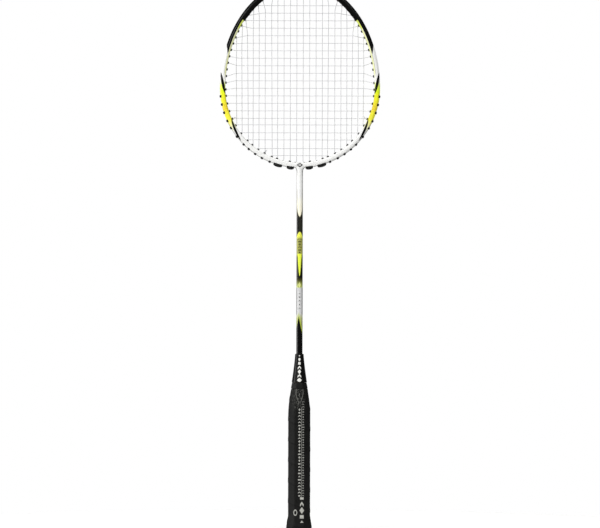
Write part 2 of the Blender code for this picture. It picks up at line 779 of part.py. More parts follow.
def grip_half_width(z):
    """The grip's outer half width: a flare at the butt, a straight middle and a taper to the cone."""
    if z < FLARE_Z:
        return GRIP_HALF_WIDTH + (BUTT_HALF_WIDTH - GRIP_HALF_WIDTH) * (1 - z / FLARE_Z)
    if z < GRIP_TAPER_Z:
        return GRIP_HALF_WIDTH
    part = (z - GRIP_TAPER_Z) / (GRIP_TOP_Z - GRIP_TAPER_Z)
    return GRIP_HALF_WIDTH - (GRIP_HALF_WIDTH - GRIP_TOP_HALF_WIDTH) * part**TAPER_POWER


def depth_ratio(z):
    """The grip's depth over its width: an oblong octagon that turns regular where the cone begins."""
    part = (z - GRIP_TAPER_Z) / (GRIP_TOP_Z - GRIP_TAPER_Z)
    return DEPTH_RATIO + (1 - DEPTH_RATIO) * min(1, max(0, part))


def grip_ring(z, inset):
    """The grip's octagon at this height, drawn in by inset on every flat."""
    half = grip_half_width(z)
    return octagon(half - inset, half * depth_ratio(z) - inset, z)


def taper_heights(low, high, count):
    return [high + (low - high) * k / count for k in range(count + 1)]


def make_grip_wrap():
    seat_z, seat = GRIP_TOP_Z - TAPE_HEIGHT - GAP, TAPE_THICKNESS + GAP
    heights = [z for z in taper_heights(GRIP_TAPER_Z, GRIP_TOP_Z, 5) if z < seat_z - TAPE_SLOPE]
    heights += [FLARE_Z, GRIP_BOTTOM_Z]
    outside = [grip_ring(GRIP_TOP_Z, seat), grip_ring(seat_z, seat), grip_ring(seat_z - TAPE_SLOPE, 0)]
    outside += [grip_ring(z, 0) for z in heights]
    inside = [grip_ring(z, GRIP_THICKNESS) for z in reversed([GRIP_TOP_Z, seat_z] + heights)]
    place("grip_wrap", loft(outside + inside, joined=True), "grip_cover")


def make_grip_tape():
    low, high = GRIP_TOP_Z - TAPE_HEIGHT, GRIP_TOP_Z
    heights = [high, (low + high) / 2, low]
    outside = [grip_ring(z, 0) for z in heights]
    inside = [grip_ring(z, TAPE_THICKNESS) for z in reversed(heights)]
    place("grip_end_tape", loft(outside + inside, joined=True), "grip_tape")


def make_handle_core():
    """The wooden core: a tenon for the butt cap, eight flats, a taper and a blind bore for the shaft."""
    inset = GRIP_THICKNESS + GAP
    heights = taper_heights(GRIP_TAPER_Z, GRIP_TOP_Z, 5) + [CORE_SHOULDER_Z]
    rings = [octagon(CORE_TOP_HALF_WIDTH, CORE_TOP_HALF_WIDTH, CORE_TOP_Z)]
    for z in heights:
        half = grip_half_width(max(z, FLARE_Z))
        rings.append(octagon(half - inset, half * depth_ratio(z) - inset, z))
    tenon = (CORE_TENON_HALF_WIDTH, CORE_TENON_HALF_WIDTH * DEPTH_RATIO)
    rings += [octagon(*tenon, CORE_SHOULDER_Z - GAP / 3), octagon(*tenon, CORE_BOTTOM_Z)]
    core = place("handle_core", loft(rings), "core_wood")
    bottom = Vector((0, 0, SHAFT_BOTTOM_Z - GAP))
    bore = prisms("shaft_bore", [(bottom, Vector((0, 0, LENGTH / 2)))], SHAFT_RADIUS + GAP, ROUND_STEPS)
    combine(core, bore, "DIFFERENCE")
    combine(core, tack_holes("core_tack_holes", TACK_RADIUS + GAP, 0), "DIFFERENCE")
    as_mesh(core)


def skirt_half_depth():
    """How far the butt cap's skirt reaches in front of the middle at the tacks' height."""
    return grip_half_width(TACK_Z) * DEPTH_RATIO - GRIP_THICKNESS - GAP


def tack_holes(name, radius, from_middle):
    """A hole through front and back at the tacks' height, from this far out to past the cap."""
    reach = BUTT_HALF_WIDTH
    shape = bmesh.new()
    for sign in (1, -1):
        start = Vector((0, sign * from_middle, TACK_Z))
        end = Vector((0, sign * reach, TACK_Z))
        if not from_middle:
            start.y = sign * (skirt_half_depth() - TACK_LENGTH - GAP)
        turn = (end - start).to_track_quat("Z", "Y").to_matrix().to_4x4()
        bmesh.ops.create_cone(
            shape,
            cap_ends=True,
            segments=8,
            radius1=radius,
            radius2=radius,
            depth=(end - start).length,
            matrix=Matrix.Translation((start + end) / 2) @ turn,
        )
    return place(name, mesh_from(name, shape))


def make_butt_cap():
    """A plastic cup over the core's tenon, with a flange that the grip ends against."""
    inset = GRIP_THICKNESS + GAP
    edge = 0.8 * MM
    flange_top = grip_half_width(CAP_FLANGE_TOP_Z)
    rings = [
        grip_ring(CAP_SKIRT_TOP_Z, inset),
        grip_ring(CAP_FLANGE_TOP_Z, inset),
        octagon(flange_top, flange_top * DEPTH_RATIO, CAP_FLANGE_TOP_Z),
        octagon(BUTT_HALF_WIDTH, BUTT_HALF_WIDTH * DEPTH_RATIO, edge),
        octagon(BUTT_HALF_WIDTH - edge, BUTT_HALF_WIDTH * DEPTH_RATIO - edge, 0),
    ]
    cap = place("butt_cap", loft(rings), "cap_plastic")
    half = CORE_TENON_HALF_WIDTH + GAP
    half_y = CORE_TENON_HALF_WIDTH * DEPTH_RATIO + GAP
    pocket_rings = [octagon(half, half_y, CORE_SHOULDER_Z), octagon(half, half_y, CORE_BOTTOM_Z - GAP)]
    combine(cap, place("cap_pocket", loft(pocket_rings)), "DIFFERENCE")
    combine(cap, tack_holes("cap_tack_holes", TACK_RADIUS + GAP, 0), "DIFFERENCE")
    sink = skirt_half_depth() - TACK_HEAD_THICKNESS - 2 * GAP
    combine(cap, tack_holes("cap_tack_sinks", TACK_HEAD_RADIUS + GAP, sink), "DIFFERENCE")
    as_mesh(cap)


def make_cap_tacks():
    """Two tacks that hold the butt cap to the wood, from front and back."""
    head = -GAP
    shank_end = -TACK_LENGTH
    profile = [
        (0, head),
        (TACK_HEAD_RADIUS, head),
        (TACK_HEAD_RADIUS, head - TACK_HEAD_THICKNESS),
        (TACK_RADIUS, head - TACK_HEAD_THICKNESS),
        (TACK_RADIUS, shank_end + 2 * TACK_RADIUS),
        (0, shank_end),
    ]
    for name, sign in (("cap_tack_back", 1), ("cap_tack_front", -1)):
        tack = turned(name, profile, "tack_steel", steps=8)
        tack.location = (0, sign * skirt_half_depth(), TACK_Z)
        tack.rotation_euler = (-sign * math.pi / 2, 0, 0)
        smooth(tack)


def make_cone_cap():
    """The hollow plastic cone that leads from the grip up to the shaft."""
    bore = SHAFT_RADIUS + GAP
    outer = []
    for k in range(6):
        part = k / 5
        z = CONE_TOP_Z - (CONE_TOP_Z - CONE_BOTTOM_Z) * part
        radius = CONE_TOP_RADIUS + (CONE_BOTTOM_RADIUS - CONE_TOP_RADIUS) * part**CONE_POWER
        outer.append((radius, z))
    inner = [
        (CONE_BOTTOM_RADIUS - CONE_WALL, CONE_BOTTOM_Z),
        (CONE_SHOULDER_RADIUS, CORE_TOP_Z + GAP),
        (bore, CORE_TOP_Z + 4 * MM),
        (bore, CONE_TOP_Z),
    ]
    smooth(turned("cone_cap", outer + inner, "cone_plastic", steps=24, closed=True))


def main():
    holes, users = right_holes()
    both_sides = holes + [hole.mirrored() for hole in holes]
    drill_spans = [(hole.at(-MM), hole.at(CROWN_WIDTH + MM)) for hole in both_sides]
    make_head_frame(drill_spans, holes)
    make_t_joint(drill_spans)
    make_shaft()
    make_grommets(holes)
    make_string("main_string", main_route(holes, users))
    make_string("cross_string", cross_route(holes, users))
    make_handle_core()
    make_butt_cap()
    make_cap_tacks()
    make_cone_cap()
    make_grip_wrap()
    make_grip_tape()


clear_scene()
RACKET = new_collection("badminton_racket")
CUTTERS = new_collection("cutters", hidden=True)
MADE_MATERIALS = {name: new_material(name) for name in MATERIALS}
main()
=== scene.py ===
"""The looks of a badminton racket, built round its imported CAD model.

The shaft stands along +Z, the string bed lies in the XZ plane and the front faces -Y. Units are metres.
A place on the hoop is an angle, 0 at the throat and growing towards +X, and a depth inwards from the rim.
"""

import bisect
import math

import bmesh
import bpy
import numpy as np
from mathutils import Matrix, Vector


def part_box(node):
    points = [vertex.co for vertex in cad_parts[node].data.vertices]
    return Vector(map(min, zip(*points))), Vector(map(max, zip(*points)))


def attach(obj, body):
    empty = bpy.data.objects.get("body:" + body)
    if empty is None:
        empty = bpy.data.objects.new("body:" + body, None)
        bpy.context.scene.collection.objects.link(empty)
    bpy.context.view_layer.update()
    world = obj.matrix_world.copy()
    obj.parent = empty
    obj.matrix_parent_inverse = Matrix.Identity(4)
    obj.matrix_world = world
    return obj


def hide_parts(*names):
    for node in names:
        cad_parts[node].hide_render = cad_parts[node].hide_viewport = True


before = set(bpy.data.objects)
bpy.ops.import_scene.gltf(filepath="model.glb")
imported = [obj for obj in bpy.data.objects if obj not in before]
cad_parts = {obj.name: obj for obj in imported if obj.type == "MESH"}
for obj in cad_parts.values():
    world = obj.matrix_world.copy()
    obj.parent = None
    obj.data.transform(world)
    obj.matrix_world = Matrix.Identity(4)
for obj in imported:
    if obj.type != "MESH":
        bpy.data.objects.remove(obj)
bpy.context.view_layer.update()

MM = 0.001
TAU = 2 * math.pi

# Measured on the CAD model
HEAD_LOW, HEAD_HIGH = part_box("head_frame")
SHAFT_LOW, SHAFT_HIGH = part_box("shaft")
CONE_LOW, CONE_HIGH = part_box("cone_cap")
GRIP_LOW, GRIP_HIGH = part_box("grip_wrap")
TAPE_LOW, TAPE_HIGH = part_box("grip_end_tape")
CAP_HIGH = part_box("butt_cap")[1]
HEAD_HALF_WIDTH = (HEAD_HIGH.x - HEAD_LOW.x) / 2
SHAFT_RADIUS = (SHAFT_HIGH.x - SHAFT_LOW.x) / 2

# Hoop, as in the CAD source
HEAD_WIDEST_Z = 543.5 * MM
HEAD_RISE = HEAD_HIGH.z - HEAD_WIDEST_Z
HOOP_BOTTOM_Z = HEAD_WIDEST_Z - HEAD_HALF_WIDTH
HOOP_WIDTH = 6.6 * MM
HOOP_DEPTH = 10.0 * MM
HOOP_WALL = 1.0 * MM
OUTER_CHAMFER = 2.2 * MM, 1.8 * MM  # across the face, down the rim
INNER_CHAMFER = 1.2 * MM
GROOVE_DEPTH = 1.5 * MM
GROOVE_WIDTH = 4.6 * MM
HOLLOW_NEAR = GROOVE_DEPTH + HOOP_WALL
HOLLOW_FAR = HOOP_WIDTH - HOOP_WALL
HOLLOW_DEPTH = HOOP_DEPTH - 2.6 * HOOP_WALL
HOOP_STEPS = 360
OUTLINE_SAMPLES = 4000
RIM_SAMPLES = 2000
THROAT_FILLET = 2.4 * MM
THROAT_FILLET_HEIGHT = 6 * MM
STEM_RADIUS = 2.3 * MM
GAP = 0.3 * MM
CROWN_WIDTH = 7.8 * MM
CROWN_START, CROWN_FULL = math.radians(128), math.radians(134)
CROWN_INSET = 0.02 * MM  # keeps its faces off the hoop's own
CROWN_STEPS = 208

# Strings
STRING_RADIUS = 0.35 * MM
MAINS = 22
CROSSES = 22
MAIN_PITCH = 7.85 * MM
MAIN_CLOSING = 0.0038 * MM
CROSS_LOWEST_Z = 460.2 * MM
CROSS_PITCH = 9.2 * MM
STRING_PLANE = 0.5 * MM  # mains pass through their holes behind the middle plane, crosses in front
WEAVE = 0.37 * MM  # how far a string swings to each side as it passes over and under
WEAVE_STEP = 1.3 * MM
STRING_TURN = 0.6 * MM
LOOP_STEP = 2 * MM
SETTLE = 8 * MM  # from a hole to where its string swings fully
BED_MARGIN = 10 * MM  # from the holes to where the strings join the bed's even grid
STRING_LIFT = 0.2 * MM
KNOT_TURNS, KNOT_STEPS = 2.6, 40
KNOT_RADIUS, KNOT_HEIGHT = 0.62 * MM, 1.7 * MM

# Grommets
BARREL_RADIUS = 1.45 * MM
BARREL_BORE_RADIUS = 1.05 * MM
BARREL_STANDOUT = 1.5 * MM
BARREL_SIDES = 20
FLUSH_STANDOUT = 0.2 * MM
BASE_LIFT = 0.15 * MM
BASE_THICKNESS = 0.45 * MM
BASE_WIDTH = 3.8 * MM
TUNNEL_HEIGHT = 0.9 * MM
TUNNEL_WIDTH = 2.2 * MM
HOOD_LENGTH = 3.0 * MM
HOOD_WIDTH = 6.4 * MM
HOOD_STANDOUT = 1.0 * MM
PAD_STANDOUT = 2.6 * MM
PAD_SHOULDER = 0.4 * MM
PAD_OVERHANG = 1.5 * MM
PAD_FULLNESS = 0.85
STRIP_OVERHANG = 2.2 * MM
HOLE_SPACING = 4.5 * MM
UPPER_HOLES = 22
THROAT_HOLES = 4
THROAT_EXIT_SHIFTS = (4.3 * MM, 1.8 * MM, 1.6 * MM, 1.0 * MM)
THROAT_STANDOUTS = (FLUSH_STANDOUT, BARREL_STANDOUT, FLUSH_STANDOUT, BARREL_STANDOUT)
SINGLE_GROMMETS = 11
LOWER_HOLES = THROAT_HOLES + SINGLE_GROMMETS
SIDE_STRIP_HOLES = 7
BASE_TOP_DEPTH = GROOVE_DEPTH - BASE_LIFT - BASE_THICKNESS
STRING_LOOP_DEPTH = BASE_TOP_DEPTH - STRING_LIFT - STRING_RADIUS
BARREL_END_DEPTH = HOOP_WIDTH + BARREL_STANDOUT
STRING_BEND_DEPTH = BARREL_END_DEPTH + 0.4 * MM

# Handle
GRIP_HALF_WIDTH = 13.8 * MM
GRIP_THICKNESS = 1.9 * MM
GRIP_TAPER_Z = 145 * MM
GRIP_TOP_HALF_WIDTH = 8.9 * MM
TAPER_POWER = 1.6
FLARE_Z = 20 * MM
BUTT_HALF_WIDTH = 17.0 * MM
DEPTH_RATIO = 12.3 / 13.8
FACET_SHARPNESS = 44
HANDLE_SIDES = 128
TAPE_THICKNESS = 0.4 * MM
TAPE_EDGE = 0.12 * MM
TAPE_STEPS = 14
WRAP_PITCH = 25 * MM
WRAP_STEP = 0.28 * MM
WRAP_LAP = 0.22  # of a turn, over which the strip comes back up to full height
GRIP_EDGE = 0.5 * MM
GRIP_STEPS = 270
CORE_TENON_HALF_WIDTH = 10.6 * MM
CORE_BOTTOM_Z = 3.3 * MM
CAP_FLANGE_TOP_Z = 5.1 * MM
CAP_EDGE, CAP_RIM = 0.4 * MM, 1.0 * MM
DISH_HALF_WIDTH = BUTT_HALF_WIDTH - 4 * MM
DISH_DEPTH, DISH_SLOPE = 0.4 * MM, 0.5 * MM
CONE_BOTTOM_RADIUS = 9.3 * MM
CONE_TOP_RADIUS = 5.2 * MM
CONE_POWER = 1.25
CONE_WALL = 1.35 * MM
CONE_SHOULDER_RADIUS = 6.8 * MM
CORE_TOP_Z = 192 * MM

# Camera and light
VIEW_WIDTH = 734.4 * MM
VIEW_MIDDLE = Vector((0.5 * MM, 0, 328 * MM))
VIEW_ROLL = math.radians(-0.13)
CAMERA_DISTANCE = 6.0
SENSOR = 36.0
SURROUND_LIGHT = 0.12
FLOOR_RADIUS = 0.55


# Materials


def srgb(code):
    """A linear colour from a #rrggbb code."""
    parts = [int(code[k : k + 2], 16) / 255 for k in (1, 3, 5)]
    return tuple(c / 12.92 if c <= 0.04045 else ((c + 0.055) / 1.055) ** 2.4 for c in parts) + (1,)


class Value:
    """A number that a material's nodes work out. Arithmetic on it adds nodes, and | takes the larger."""

    def __init__(self, net, socket):
        self.net = net
        self.socket = socket

    def __abs__(self):
        return self.net.math("ABSOLUTE", self)


def add_operator(name, operation):
    setattr(Value, f"__{name}__", lambda self, other: self.net.math(operation, self, other))
    setattr(Value, f"__r{name}__", lambda self, other: self.net.math(operation, other, self))


for word, made in (("add", "ADD"), ("sub", "SUBTRACT"), ("mul", "MULTIPLY"), ("truediv", "DIVIDE")):
    add_operator(word, made)
add_operator("pow", "POWER")
add_operator("or", "MAXIMUM")


class Net:
    """The nodes of one material. Lengths inside it are in millimetres."""

    def __init__(self, name, **sockets):
        self.material = bpy.data.materials.new(name)
        self.material.use_nodes = True
        self.tree = self.material.node_tree
        self.shader = self.tree.nodes["Principled BSDF"]
        for socket, value in sockets.items():
            self.shader.inputs[socket.replace("_", " ")].default_value = value
        place = self.node("TexCoord").outputs["Object"]
        self.place = self.node("VectorMath", {0: place, "Scale": 1 / MM}, operation="SCALE").outputs[0]
        split = self.node("SeparateXYZ", {0: self.place})
        self.x, self.y, self.z = (Value(self, output) for output in split.outputs)
        self.colour = None

    def link(self, source, target):
        if isinstance(source, Value):
            source = source.socket
        if isinstance(source, bpy.types.NodeSocket):
            self.tree.links.new(source, target)
        else:
            target.default_value = source

    def node(self, kind, inputs=(), **settings):
        """A new node with these settings, and with its inputs fed by name or number."""
        node = self.tree.nodes.new(f"ShaderNode{kind}")
        for name, setting in settings.items():
            setattr(node, name, setting)
        for key, source in dict(inputs).items():
            self.link(source, node.inputs[key])
        return node

    def value(self, output, kind, inputs=(), **settings):
        return Value(self, self.node(kind, inputs, **settings).outputs[output])

    def math(self, operation, *values, clamp=False):
        return self.value(0, "Math", enumerate(values), operation=operation, use_clamp=clamp)

    def noise(self, scale, detail=2.0, stretch=None, roughness=0.5):
        """Noise with about scale cells per millimetre."""
        place = self.place
        if stretch:
            place = self.node("VectorMath", {0: place, 1: stretch}, operation="MULTIPLY").outputs[0]
        inputs = {"Vector": place, "Scale": scale, "Detail": detail, "Roughness": roughness}
        return self.value("Fac", "TexNoise", inputs)

    def chance(self, value, seed):
        """A number from 0 to 1 that depends by chance on value."""
        return self.value("Value", "TexWhiteNoise", {"W": value + seed}, noise_dimensions="1D")

    def mix(self, factor, a, b, blend="MIX"):
        """A blend of two colours, each a colour code or a node's output."""
        a, b = (srgb(colour) if isinstance(colour, str) else colour for colour in (a, b))
        inputs = {"Factor": factor, 6: a, 7: b}
        return self.node("Mix", inputs, data_type="RGBA", blend_type=blend).outputs[2]

    def paint(self, colour, mask):
        """Lays a colour over the material's own, where the mask is 1."""
        self.colour = self.mix(mask, self.colour, colour)

    def ramp(self, value, stops):
        """A colour along value, from stops of (value, colour code)."""
        low, high = stops[0][0], stops[-1][0]
        node = self.node("ValToRGB", {0: (value - low) / (high - low)})
        elements = node.color_ramp.elements
        while len(elements) < len(stops):
            elements.new(0.5)
        for element, (at, code) in zip(elements, stops):
            element.position = (at - low) / (high - low)
            element.color = srgb(code)
        return node.outputs[0]

    def roughened(self, noise, low, high):
        """Lets the roughness wander between low and high."""
        self.link(self.colour, self.shader.inputs["Base Color"])
        self.link(low + noise * (high - low), self.shader.inputs["Roughness"])
        return self

    def bumped(self, height, strength, distance):
        """The finished material. distance is in millimetres."""
        inputs = {"Strength": strength, "Distance": distance * MM, "Height": height}
        self.link(self.node("Bump", inputs).outputs[0], self.shader.inputs["Normal"])
        return self.material


def ease(value, low, high):
    """0 below low, 1 above high and smooth between."""
    inputs = {"Value": value, "From Min": low, "From Max": high}
    return value.net.value("Result", "MapRange", inputs, interpolation_type="SMOOTHSTEP")


def under(value, limit, blur=0.12):
    """1 where value is less than limit."""
    return ease(limit - value, -blur, blur)


def between(value, low, high, blur=0.12):
    return under(low, value, blur) * under(value, high, blur)


def marks(across, along, half, low, high, pitch, seed, fill=0.8):
    """A column of abstract marks, one to a pitch: a bar, a chevron or a diamond, by chance."""
    net = across.net
    blur = 0.08
    row = net.math("FLOOR", along / pitch)
    within = along / pitch - (row + 0.5)
    size = 0.62 + net.chance(row, seed) * 0.38
    side = abs(across / half) / size
    away = abs(within) * (2 / fill)
    bar = under(side, 1, blur) * under(away, 0.5, blur)
    diamond = under(side + away, 1.0, blur)
    bent = within * (2 / fill) + side * 0.8
    chevron = between(bent, 0.05, 0.75, blur) * under(side, 1, blur)
    pick = net.chance(row, seed + 31.7)
    first = net.math("LESS_THAN", pick, 0.34)
    last = net.math("GREATER_THAN", pick, 0.67)
    shape = first * bar + last * diamond + (1 - (first + last)) * chevron
    return shape * between(along, low, high, 0.1)


def slash(run, depth, inner_end, outer_end, half, bend):
    """A pointed painted stroke slantwise over the hoop's face, between ends given as (run, depth)."""
    net = run.net
    (inner_run, inner_depth), (outer_run, outer_depth) = inner_end, outer_end
    part = net.math("DIVIDE", run - inner_run, outer_run - inner_run, clamp=True)
    middle = inner_depth + part**bend * (outer_depth - inner_depth)
    swell = net.math("SINE", part * math.pi) ** 0.7
    low, high = sorted((inner_run, outer_run))
    return under(abs(depth - middle), swell * half, 0.18) * between(run, low, high, 0.2)


def frame_paint():
    """White hoop with a yellow patch between two black strokes on each side, and a black crown."""
    net = Net("frame_paint", Coat_Weight=0.1, Coat_Roughness=0.1, Specular_IOR_Level=0.1)
    run, depth = (net.value("Fac", "Attribute", attribute_name=name) for name in ("run", "depth"))
    stops = [
        (0, "#f2f2f0"), (96, "#f0f0ee"), (104, "#f7f6b8"), (112, "#f7f24e"),
        (121, "#f5ee40"), (128, "#f2de40"), (136, "#f5f03a"), (145, "#f0f42e"),
        (150, "#e0fb2c"), (157, "#e6fa6a"), (162, "#f2f2e6"), (168, "#f0f0ee"),
        (250, "#ececea"),
    ]
    net.colour = net.ramp(run, stops)
    lower, upper = under(run, 110, 6), ease(run, 165, 175)
    # Pale lime on the upper inner side, stronger near the crown, and a thin line along it
    net.paint("#eef2a0", upper * under(5.0, depth, 0.35) * 0.8)
    net.paint("#dcec50", between(run, 232, 246, 2) * under(4.6, depth, 0.2) * 0.8)
    net.paint("#77775a", between(depth, 4.35, 4.85, 0.15) * ease(run, 168, 174) * 0.6)
    # Painted shade on the yellow patch's inner chamfer, and orange blotches in the yellow
    net.paint("#a08a28", between(depth, 5.2, 6.4, 0.3) * between(run, 112, 148, 3) * 0.35)
    net.paint("#dd9a26", between(run, 124, 137, 2) * ease(net.noise(0.9, 2.0), 0.54, 0.64) * 0.6)
    # Painted shade: darker edges of the white part and of the neck
    net.paint("#6e6e68", between(depth, -0.3, 0.9, 0.35) * lower * under(5, run, 1) * 0.6)
    net.paint("#80807a", under(5.8, depth, 0.3) * lower * 0.35)
    net.paint("#55534c", under(depth, -0.3, 0.3) * under(abs(net.y), 2.2, 0.9) * 0.75)
    cut = 197 + ((4.4 - depth) | 0) * 2.3
    crown = under(cut, run, 0.8) * under(depth, 4.75, 0.15) | under(244, run, 0.8)
    low_slash = slash(run, depth, (113, 6.3), (82, 1.2), half=1.5, bend=0.9)
    high_slash = slash(run, depth, (146, 6.3), (173, 0.2), half=1.8, bend=1.1)
    net.paint("#080807", crown | low_slash | high_slash)
    span = run / 4.1 + abs(depth - 3.6) / 3.0
    emblem = between(span, 0.5, 1.0, 0.06) | under(span, 0.22, 0.06)
    net.paint("#161615", emblem * 0.95)
    net.colour = net.mix(0.06, net.colour, net.noise(9.0, 3.0), "OVERLAY")
    return net.roughened(net.noise(0.5), 0.24, 0.36).bumped(net.noise(0.35, 1.0), 0.15, 0.05)


def shaft_paint():
    """Bands and pointed tongues of colour down the shaft, over black at its foot."""
    net = Net("shaft_paint", Coat_Weight=0.12, Coat_Roughness=0.08, Specular_IOR_Level=0.12)
    x, z = net.x, net.z
    side = net.math("MINIMUM", abs(x) / (SHAFT_RADIUS / MM), 1)
    edge = side * side
    stops = [
        (240, "#080807"), (262, "#b9bd86"), (268, "#cfcfcf"), (298, "#d0d0d0"),
        (300, "#b4be6a"), (308, "#45451f"), (312, "#0f0f0c"), (314, "#14140e"),
        (336, "#2c2c14"), (340, "#a6a658"), (360, "#a3a357"), (367, "#b9bb54"),
        (388, "#fff8dc"), (404, "#fbf8ea"), (412, "#f2f2f0"), (440, "#f2f2f0"),
    ]
    net.colour = net.ramp(z, stops)
    # The black band below the white, and the yellow arch under it
    dark = net.mix(ease(net.noise(0.9, 2.0, (1, 1, 0.04)), 0.35, 0.65), "#0a0a08", "#33332b")
    net.paint(dark, under(z, 386 + edge * 15, 1.2) * under(367.5 - edge * 7, z, 0.5))
    net.paint("#eef25e", under(z, 367.2 - edge * 7, 0.5) * ease(z, 357.5, 363))
    # Painted shade towards the sides of the white, from its foot upwards
    net.paint("#8f8a66", ease(side, 0.45, 1.0) * between(z, 388, 418, 8) * 0.5)
    # The yellow tongue, the pale spot below it, and painted shade along the rims of the silver and the white
    reach = net.math("DIVIDE", z - 313, 27, clamp=True) ** 0.62
    net.paint("#eaf850", under(side, reach * 0.66, 0.06) * between(z, 313, 340.5, 0.4))
    net.paint("#eef29a", under(side / 0.45 + abs(z - 302.5) / 3.6, 1.0, 0.3) * 0.7)
    net.paint("#2a2a2a", ease(side, 0.62, 0.92) * between(z, 266, 299, 1.5) * 0.85)
    net.paint("#55534c", ease(side, 0.78, 0.98) * under(388, z, 4) * 0.75)
    # The black wedge with its yellow flanks
    wedge_top = 264 - abs(x + 0.9) * 5.2
    flank = under(z, wedge_top + 6, 1.5) * under(246, z, 3)
    net.paint("#b6c84a", flank * (0.45 + ease(x, -0.8, 0.8) * 0.55))
    net.paint("#080807", under(z, wedge_top, 0.8))
    khaki_marks = marks(x, z, half=2.4, low=341, high=359, pitch=3.4, seed=3.0, fill=0.95)
    silver_marks = marks(x, z, half=1.2, low=272, high=292, pitch=4.6, seed=11.0, fill=0.6)
    net.paint("#33331a", khaki_marks * 0.8)
    net.paint("#202020", silver_marks * 0.9)
    net.colour = net.mix(0.05, net.colour, net.noise(8.0, 3.0), "OVERLAY")
    return net.roughened(net.noise(0.4), 0.2, 0.3).bumped(net.noise(0.3, 1.0, (1, 1, 0.2)), 0.12, 0.04)


def cone_plastic():
    net = Net("cone_plastic", Coat_Weight=0.04, Coat_Roughness=0.15, Specular_IOR_Level=0.1)
    low, high = CONE_LOW.z / MM, CONE_HIGH.z / MM
    widening = net.math("DIVIDE", high - net.z, high - low, clamp=True)
    across = (net.x - 0.1) / (0.5 + widening * 1.3)
    printed = marks(across, net.z, half=2.1, low=low + 1, high=high - 5, pitch=5.1, seed=9.0, fill=1.2)
    dot = under(abs(net.x) + abs(net.z - (high - 2.2)), 0.9, 0.2)
    net.colour = net.mix(net.noise(0.6), "#070707", "#0d0d0c")
    net.paint("#ecece6", (printed | dot) * under(net.y, 0) * 0.92)
    return net.roughened(net.noise(1.2), 0.3, 0.42).bumped(net.noise(3.0), 0.08, 0.03)


def grip_cover():
    """Soft black wrap with a fine grain, a duller seam and printed marks down its front flat."""
    net = Net("grip_cover", Specular_IOR_Level=0.07)
    x, z = net.x, net.z
    left = marks(x - 0.3, z, half=1.75, low=44, high=152, pitch=3.9, seed=1.0, fill=0.8)
    right = marks(x - 4.9, z, half=1.35, low=44, high=160, pitch=3.1, seed=21.0, fill=0.7) * 0.75
    large = marks(x - 3.4, z, half=3.1, low=12, high=43, pitch=7.7, seed=47.0, fill=1.1)
    line = between(x, 2.6, 3.05, 0.15) * between(z, 40, 153, 1) * 0.7
    span = net.math("SQRT", (x + 4.6) ** 2 + ((z - 24.2) * 0.6) ** 2)
    ring = between(span, 1.5, 2.3, 0.15) * 0.9
    lens = abs(x - 0.3) - (4.4 - abs(z - 171) ** 1.6 * 0.06)
    curve = between(lens, -0.3, 0.3, 0.2) * between(z, 159, 182, 1) * 0.4
    flecks = ease(net.noise(0.8, 4.0, (1, 1, 0.6)), 0.5, 0.66) * under(154, z, 14)
    flecks = flecks * under(abs(x + 1.0), 5.0, 6.0) * 0.4
    worn = 0.45 + net.noise(0.9, 3.0) * 0.55
    printed = (left | right | line | large | ring | curve | flecks) * under(net.y, 0) * worn
    phase = net.math("FRACT", z / (WRAP_PITCH / MM) + net.math("ARCTAN2", net.y, x) / TAU)
    seam = under(phase, 0.018, 0.012) | under(0.985, phase, 0.01)
    net.colour = net.mix(net.noise(0.18, 2.0), "#0f0f0e", "#191918")
    net.paint("#0a0a0a", seam * 0.6)
    net.paint("#c8c8c0", printed * 0.88)
    grain = net.value("Distance", "TexVoronoi", {"Vector": net.place, "Scale": 2.6})
    return net.roughened(net.noise(0.5), 0.42, 0.6).bumped(grain * 0.5 + net.noise(1.6, 3.0), 0.3, 0.12)


def moulded_black(name, low, high, roughest):
    """Plain black moulding with a faint mould texture."""
    net = Net(name, Specular_IOR_Level=0.25)
    net.colour = net.mix(net.noise(0.8), low, high)
    return net.roughened(net.noise(1.5), 0.35, roughest).bumped(net.noise(4.0, 3.0), 0.12, 0.03)


def grip_tape():
    net = Net("grip_tape", Specular_IOR_Level=0.09)
    net.colour = net.mix(net.noise(0.5), "#0f0f0e", "#191918")
    return net.roughened(net.noise(0.9), 0.35, 0.5).bumped(net.noise(0.6, 2.0, (1, 1, 3)), 0.2, 0.08)


def string_nylon():
    """Clear-coated white multifilament: a fine spiral lay under a semi-gloss skin."""
    net = Net("string_nylon", Coat_Weight=0.3, Coat_Roughness=0.2)
    lay = net.math("SINE", (net.x + net.z + net.y * 3.0) * 9.0)
    net.colour = net.mix(net.noise(0.3), "#c6c6c8", "#d3d3d5")
    return net.roughened(net.noise(1.0), 0.35, 0.5).bumped(lay, 0.25, 0.02)


def core_wood():
    net = Net("core_wood")
    pores = net.noise(3.0, 2.0, (1, 1, 0.05))
    net.colour = net.mix(net.noise(0.5, 4.0, (1, 1, 0.03), 0.6), "#a87f4c", "#d9b883")
    net.paint("#7d5a33", pores * 0.35)
    return net.roughened(pores, 0.5, 0.7).bumped(pores, 0.25, 0.1)


def composite():
    net = Net("composite", Coat_Weight=0.2, Coat_Roughness=0.3)
    weave = net.math("SINE", (net.x + net.z) * 3.1) * net.math("SINE", (net.x - net.z) * 3.1)
    net.colour = net.mix(ease(weave, -0.5, 0.5), "#0f0f0f", "#26262a")
    return net.roughened(net.noise(1.0), 0.35, 0.5).bumped(weave, 0.1, 0.03)


def tack_steel():
    net = Net("tack_steel", Metallic=1.0)
    brushed = net.noise(2.0, 3.0, (1, 8, 1))
    net.colour = net.mix(brushed, "#a4a4a4", "#c9c9c9")
    return net.roughened(brushed, 0.25, 0.42).bumped(brushed, 0.1, 0.02)


def floor_paint():
    net = Net("floor_paint")
    net.colour = net.mix(net.noise(0.004, 2.0), "#f4f4f3", "#f7f7f6")
    return net.roughened(net.noise(0.02), 0.7, 0.8).material


